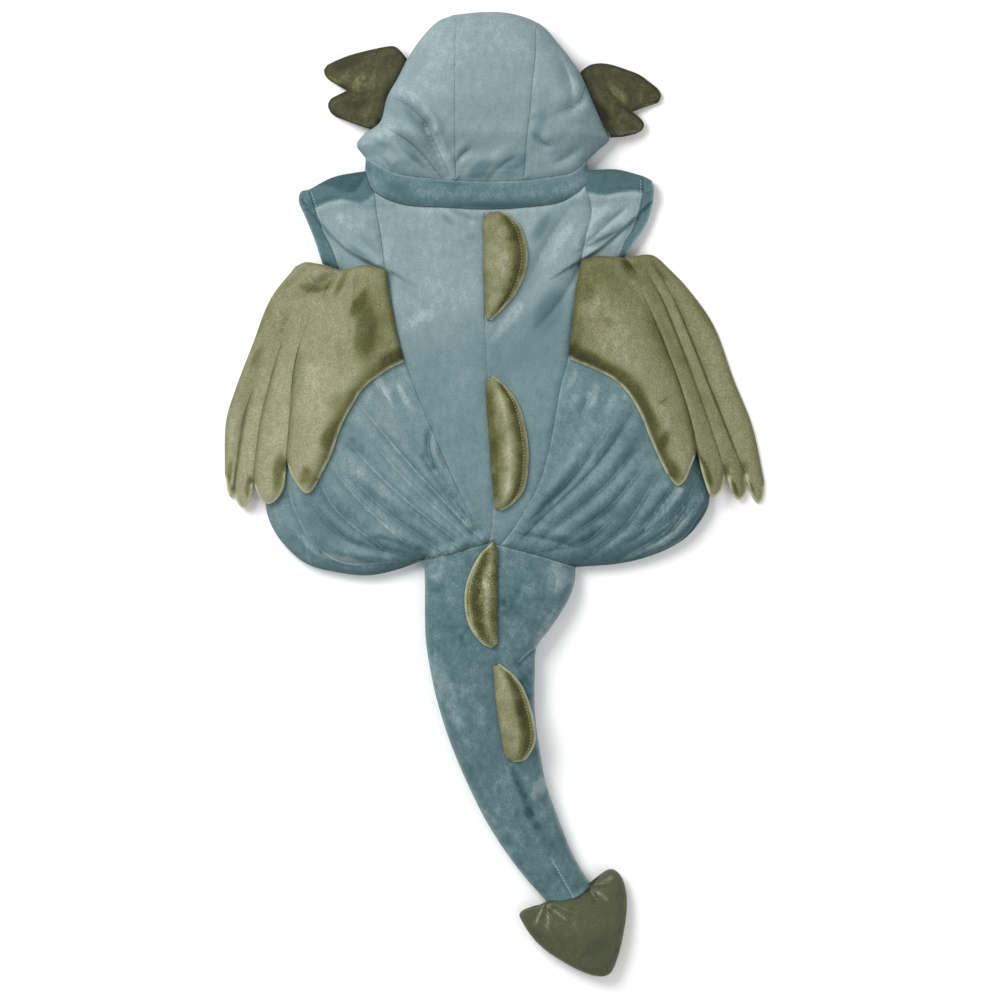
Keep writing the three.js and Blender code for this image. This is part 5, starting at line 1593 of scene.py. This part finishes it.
def sleeve_and_hem(side, sleeve, neck_from, neck_to):
    around = np.linspace(0, 1, 89)
    arm = sleeve_top(sleeve, neck_from, neck_to, around)
    station = np.interp(around * 11, [0, 3, 9, 11], [0, 2, 5, 6])
    mid, seam, hem = (curve(line(sleeve, name), station) for name in ("mid", "seam", "hem"))
    down = crowded(30, 0.4, 0.5)
    bent = np.stack([along(np.array(three), down) for three in zip(arm, mid, seam)], axis=1)
    cloth("sleeve_" + side, ring_layers(bent), PALE_BLUE, sleeve_nap_and_shading, ring=True)
    band = blend(seam, hem, mix(0.02, 1, crowded(12, 0.6, 0.6))).transpose(1, 0, 2)
    cloth("sleeve_hem_" + side, ring_layers(band), TEAL, hem_nap_and_shading, ring=True)


# Padded pieces
def border_of(plan):
    return [plan[0], plan[-1], plan[:, 0], plan[:, -1]]


def wing_root(points, places):
    """The wing's inner edge: down the princess seam for places 0 to 2, then round the inner lobe to 5."""
    sewn_part = curve(points[:SEWN_POINTS], np.clip(places * 1.5, 0, 3))
    free_part = curve(points[SEWN_POINTS - 1:], np.clip((places - 2) * 2, 0, 6))
    return np.where((places < 2)[:, None], sewn_part, free_part)


def wing(node, root, top_edge, stations, lobes, pleats, folds, spots, shade):
    """Four padded lobes that overlap like a fan, the inner one on top."""
    down = crowded(150, 0.3, 0.5)
    places = down * 5
    rails = [wing_root(line(root), places)]
    rails += [curve(line(stations, name), places) for name in ("a", "b", "c", "out")]
    opens = [ease((down - start) / 0.26) for start in pleats]
    opens = [0 * down, *opens, 0 * down]
    grids, splits, edges, across = [], [], [], []
    for k, lobe in enumerate(lobes):
        ways = crowded(22, 0.4, 0.6)
        start = curve(line(top_edge), 2 * (k + ways))
        grid = patch(rails[k], rails[k + 1], start, curve(line(lobe), ways * 4), down)
        if k > 0:
            grid[:, 0] = mix(grid[:, 0], grid[:, 1], 0.2)
        grids.append(grid)
        splits.append(np.repeat(opens[k][:, None], len(ways), axis=1))
        edges.append(np.repeat(opens[k + 1][:, None], len(ways), axis=1))
        across.append(np.repeat(ways[None], len(down), axis=0))
    plan = np.concatenate(grids, axis=1)
    split, edge, t = (np.concatenate(parts, axis=1).ravel() for parts in (splits, edges, across))
    at = plan.reshape(-1, 2)
    border = border_of(plan)
    signed = away_from(at, GARMENT_OUTLINE) * np.where(inside(at), 1, -1)
    hung = loft(at, False) * ease((signed + 50) / 72)
    under = np.maximum(cover_height(at, 7), hung) + 1.3 * ease((signed + 42) / 30)
    low = WING_PADDING - WING_STEP * split
    rise = mix(low, WING_PADDING, ease(t * 1.5)) + 1.6 * np.maximum(split, edge) * np.sin(math.pi * t)
    rise -= 0.75 * WING_STEP * edge * ease((t - 0.86) / 0.14) ** 2
    distance = away_from(at, border)
    rise += fold_height(at, folds) * ease(distance / 6)
    top = under + 1 + rise * fullness(distance, WING_ROUNDING)
    free = [rails[0][down > 0.4], *[curve(line(lobe), np.linspace(0.4, 3.6, 20)) for lobe in lobes]]
    from_lobe = away_from(at, free[:1])
    # Painted shade: a dark band just inside the inner lobe's free edge, darker near the seam and along every
    # border
    band = (1 - ease((from_lobe - 5) / 19)) * (0.75 + 0.35 * uneven(at, 22, 40))
    near_seam = 1 - ease(away_from(at, [rails[0][down < 0.42]]) / 48)
    level = shade - 0.06 * bell(distance, 4) - 0.15 * near_seam
    # Painted light and shade: lighter across the middle of a lobe beside an open pleat, and painted shade
    # towards its outer side at the pleat
    level += np.maximum(split, edge) * (0.1 * np.sin(math.pi * t) - 0.14 * edge * ease((t - 0.8) / 0.2))
    tones = {
        "nap": level,
        "patch": patches(at, spots) - 1.15 * band + 0.16 * uneven(at, 15, 56),
        # Painted sheen along the lobes' free edges
        "rim": 1.15 * bell(away_from(at, free), 2.1),
        **fold_marks(at, folds),
    }
    stuffed(node, plan, top, under, OLIVE, tones)


def tail_value(at, name):
    middle = (TAIL["left_y"] + TAIL["right_y"]) / 2
    return np.interp(-at[:, 1], -middle, TAIL[name])


TAIL_EDGES = [run(line(TAIL, "left"), 66), run(line(TAIL, "right"), 66)]


def tail_height(at, least=0.0):
    away = np.maximum(least, away_from(at, TAIL_EDGES))
    return tail_value(at, "height") * (0.44 + 0.56 * fullness(away, tail_value(at, "rounding")))


def round_ways(count):
    return (1 - np.cos(np.linspace(0, math.pi, count + 1))) / 2


TAIL_FOLDS = folds_of(table(
    FOLD_COLUMNS,
    (50, -166, 34, -178, 20, -194, 6, 4.5, 1, 0, 1),
    (-64, -74, -58, -92, -56, -112, 7, 2, 0.5, 0, 0),
    (20, -70, 24, -92, 22, -116, 8, 1.8, 0.4, 0, 0),
    (62, -76, 68, -92, 66, -108, 6, 2, 0.5, 0, 0.4),
    (64, -330, 48, -336, 30, -350, 8, 1.6, 0, 0, 0),
    (61, -398, 74, -420, 86, -442, 4, 0.8, 0.2, 0.6, 0.9),
))
TIP_FOLDS = folds_of(table(
    FOLD_COLUMNS,
    (57, -450, 51, -462, 46, -476, 4, 2.4, 1, 0, 0.7),
    (58, -450, 58, -462, 60, -475, 4, 2.4, 1, 0, 0.7),
    (60, -450, 68, -460, 82, -469, 4, 2.2, 1, 0, 0.5),
    (64, -450, 76, -456, 92, -462, 4, 1.6, 1, 0, 0.3),
    (105, -432, 112, -438, 122, -441, 4, 2.4, 1, 0, 0.6),
    (104, -434, 109, -442, 116, -450, 4, 2.2, 1, 0, 0.6),
    (106, -430, 117, -429, 130, -427, 4, 2, 1, 0, 0.5),
))


def tail():
    ways = np.linspace(0, 1, 71)
    start = along(line(TAIL_SEAM), ways)
    corner = ease((-42 - start[:, 0]) / 30)
    start += np.column_stack([1.5 * corner, -0.1 - 0.5 * corner])
    end = along(line(TAIL_CUFF), round_ways(70))
    down = crowded(190, 0.4, 0.2)
    left = along(line(TAIL, "left"), down)
    right = along(line(TAIL, "right"), down)
    left[0], right[0] = start[0], start[-1]
    plan = drawn_in(patch(left, right, start, end, down), False)
    at = plan.reshape(-1, 2)
    distance = away_from(at, TAIL_EDGES)
    bottom = tail_value(at, "height") * 0.4 * (1 - fullness(distance, 20))
    top = tail_height(at) + fold_height(at, TAIL_FOLDS) * ease(distance / 5)
    # Painted sheen: lighter within a few millimetres of the edges, where the tail rounds away
    middle = 0.47 + 0.1 * ease((6 - distance) / 6)
    brushed = 0.35 * uneven(at, 13, 51) + 0.3 * uneven(at, 5, 52) + 0.15 * uneven(at, 2.5, 53)
    # Painted sheen along the edges and along the tail seam
    rim = 0.4 * bell(distance, 2) + 0.35 * bell(away_from(at, [TAIL_SEAM_RUN]), 1.5)
    tones = {"nap": middle, "patch": patches(at, TAIL_NAP_AND_SHADING) + brushed, "rim": rim}
    stuffed("tail", plan, top, bottom, TEAL, tones | fold_marks(at, TAIL_FOLDS))


def tail_tip():
    ways = round_ways(56)
    down = crowded(80, 0.4, 0.4)
    left = along(line(TIP, "left"), down)
    right = along(line(TIP, "right"), down)
    start = along(line(TAIL_CUFF), ways) + [0.3, -0.6]
    left[0], right[0] = start[0], start[-1]
    end = along(line(TIP_POINT), ways)
    plan = patch(left, right, start, end, down)
    at = plan.reshape(-1, 2)
    border = [left, right, end]
    height = mix(31, 37, ease((-at[:, 1] - 440) / 40))
    distance = away_from(at, border)
    top = height * (0.46 + 0.54 * fullness(distance, 36)) + fold_height(at, TIP_FOLDS) * ease(distance / 5)
    bottom = 14 * (1 - fullness(distance, 18))
    # Painted sheen along the tip's edges
    tones = {"nap": 0.52, "patch": patches(at, TIP_NAP_AND_SHADING), "rim": 0.35 * bell(distance, 2)}
    stuffed("tail_tip", plan, top, bottom, GREY_OLIVE, tones | fold_marks(at, TIP_FOLDS))


def ear(node, stations, shape):
    rows, columns = 72, 60
    hood = run(line(stations, "edge"), rows, *shape["base"])
    sideways = np.sign(shape["upper_lobe"]["x"][0])
    base = hood + [0.5 * sideways, 0]
    upper_lobe = run(line(shape["upper_lobe"]), rows // 2)
    outer = np.vstack([upper_lobe, run(line(shape["lower_lobe"]), rows // 2)[1:]])
    upper = run(np.vstack([base[:1], line(shape["upper"])[1:]]), columns)
    lower = run(np.vstack([base[-1:], line(shape["lower"])[1:]]), columns)
    plan = patch(base, outer, upper, lower, np.linspace(0, 1, rows + 1))
    at = plan.reshape(-1, 2)
    border = [upper, lower, outer]
    folds = folds_of(shape["folds"])
    reach = away_from(at, [base])
    distance = away_from(at, border)
    middle = mix(22, 6, ease(reach / 60))
    half = 0.5 + (EAR_PADDING / 2 - 0.5) * fullness(distance, EAR_ROUNDING)
    top = middle + half + fold_height(at, folds) * ease(distance / 5)
    # Painted shade: darker just inside the ear's border and where it meets the hood
    level = 0.40 - 0.18 * bell(distance - 1, 2.5) - 0.2 * bell(reach, 5)
    tones = {"nap": level, "patch": patches(at, shape["nap"]), "rim": 0}
    stuffed(node, plan, top, middle - half, DARK_OLIVE, tones | fold_marks(at, folds))


def spine(number, stations):
    rows = 90
    base = run(line(stations, "base"), rows)
    bulge = run(line(stations, "bulge"), rows)
    ways = round_ways(34)
    plan = blend(base, bulge, ways)
    at = plan.reshape(-1, 2)
    border = border_of(plan)

    def under(at):
        body = np.where(at[:, 1] > -60, cover_height(at, 4), 0)
        on_tail = np.where(at[:, 1] < -45, tail_height(at, 14), 0)
        return np.maximum(body, on_tail) + (1.6 if number == 3 else 0.5)

    def top(at):
        puff = (SPINE_PADDING - 1) * fullness(away_from(at, border), SPINE_ROUNDING)
        tuck = 1.1 * bell(away_from(at, [seam]), 1.2)
        return under(at) + 1 + puff - tuck

    seam = mix(bulge, base, 0.14)[12:-12]
    # Painted highlight and painted shade across the spine, from its table
    shade = np.interp(ways, SPINE_NAP_AND_SHADING["across"], SPINE_NAP_AND_SHADING[f"spine_{number}"])
    shade = np.repeat(shade[None], rows + 1, axis=0).ravel()
    ends = away_from(at, [base[:2], base[-2:]])
    finish = ROUGH_OLIVE if number == 3 else OLIVE
    tones = {
        "nap": mix(0.6, shade, ease(ends / 26)) + 0.06 * uneven(at, 9, number),
        "patch": 0.4 * uneven(at, 14, 20 + number) + 0.2 * uneven(at, 7, 60 + number),
        # Painted sheen along the bulging edge
        "rim": 0.8 * bell(away_from(at, [bulge]), 1.8),
    }
    stuffed(f"spine_{number}", plan, top(at), under(at), finish, tones)
    sewn(f"spine_{number}_thread", seam, top, OLIVE_THREAD)


def threads():
    """Sewing that shows, along the end of the tail and at the hems of the sleeves."""
    middle = run(np.array([[61, -398], [74, -420], [85, -440]]), 12)
    sewn("tail_middle_thread", middle, tail_height, TEAL_THREAD)
    for name, sleeve, inward in (("left", SLEEVE_LEFT, 2.5), ("right", SLEEVE_RIGHT, -2.5)):
        sewn(f"hem_thread_{name}", run(line(sleeve, "seam"), 40)[2:-2] + [inward, 0], on_cloth, PALE_THREAD)


hood_side("hood_side_left", HOOD_LEFT, -1)
hood_side("hood_side_right", HOOD_RIGHT, 1)
hood_centre()
collar_band()
back_centre("back_centre_left", SLEEVE_LEFT, BODY_LEFT, neck_to=1, tail_to=2)
back_centre("back_centre_right", SLEEVE_RIGHT, BODY_RIGHT, neck_to=7, tail_to=4)
hem_left = back_side("back_side_left", BODY_LEFT, -1, tail_from=2, tail_to=0)
hem_right = back_side("back_side_right", BODY_RIGHT, 1, tail_from=4, tail_to=6)
front_panel("front_left", SLEEVE_LEFT, -1, neck_to=1, hem=hem_left)
front_panel("front_right", SLEEVE_RIGHT, 1, neck_to=7, hem=hem_right)
sleeve_and_hem("left", SLEEVE_LEFT, neck_from=0, neck_to=1)
sleeve_and_hem("right", SLEEVE_RIGHT, neck_from=COLLAR_LAST, neck_to=7)
wing(
    "wing_left", ROOT_LEFT, TOP_LEFT, WING_LEFT, LOBES_LEFT, PLEATS_LEFT,
    folds_of(WING_FOLDS_LEFT), WING_NAP_AND_SHADING_LEFT, 0.66,
)
wing(
    "wing_right", ROOT_RIGHT, TOP_RIGHT, WING_RIGHT, LOBES_RIGHT, PLEATS_RIGHT,
    folds_of(WING_FOLDS_RIGHT), WING_NAP_AND_SHADING_RIGHT, 0.54,
)
tail()
tail_tip()
ear("ear_left", HOOD_LEFT, EAR_LEFT)
ear("ear_right", HOOD_RIGHT, EAR_RIGHT)
for number, stations in enumerate(SPINES, 1):
    spine(number, stations)
threads()


# Floor, light and camera
def studio_floor():
    half = 3.0
    below = -0.0005
    square = [(-half, -half, below), (half, -half, below), (half, half, below), (-half, half, below)]
    mesh = bpy.data.meshes.new("floor")
    mesh.from_pydata(square, [], [(0, 1, 2, 3)])
    white = bpy.data.materials.new("white floor")
    white.use_nodes = True
    shader = white.node_tree.nodes["Principled BSDF"]
    shader.inputs["Base Color"].default_value = (0.97, 0.97, 0.97, 1)
    shader.inputs["Roughness"].default_value = 0.9
    shader.inputs["Specular IOR Level"].default_value = 0.0
    mesh.materials.append(white)
    floor = bpy.data.objects.new("floor", mesh)
    bpy.context.scene.collection.objects.link(floor)


def soft_light(name, place, size, watts):
    light = bpy.data.lights.new(name, "AREA")
    light.shape = "SQUARE"
    light.size = size
    light.energy = watts
    lamp = bpy.data.objects.new(name, light)
    lamp.location = place
    lamp.rotation_euler = (-Vector(place)).to_track_quat("-Z", "Y").to_euler()
    bpy.context.scene.collection.objects.link(lamp)


def studio():
    studio_floor()
    soft_light("window light", (-1.3, 1.25, 2.4), size=1.4, watts=70)
    soft_light("fill light", (1.4, -1.1, 2.6), size=2.5, watts=20)
    world = bpy.data.worlds.new("pale room")
    world.use_nodes = True
    world.node_tree.nodes["Background"].inputs["Color"].default_value = (1, 1, 1, 1)
    world.node_tree.nodes["Background"].inputs["Strength"].default_value = 0.56
    bpy.context.scene.world = world
    bpy.context.scene.view_settings.view_transform = "Standard"


# Camera: the width of the photograph and its middle in the part's frame, in metres
PHOTO_WIDTH = 1.1
PHOTO_MIDDLE = (0.0066, -0.00605)
SHARP_HEIGHT = 0.02
LENS = 200
SENSOR = 36


def camera():
    view = bpy.data.cameras.new("camera")
    view.lens = LENS
    view.sensor_width = SENSOR
    eye = bpy.data.objects.new("camera", view)
    eye.location = (*PHOTO_MIDDLE, SHARP_HEIGHT + PHOTO_WIDTH * LENS / SENSOR)
    bpy.context.scene.collection.objects.link(eye)
    bpy.context.scene.camera = eye


studio()
camera()
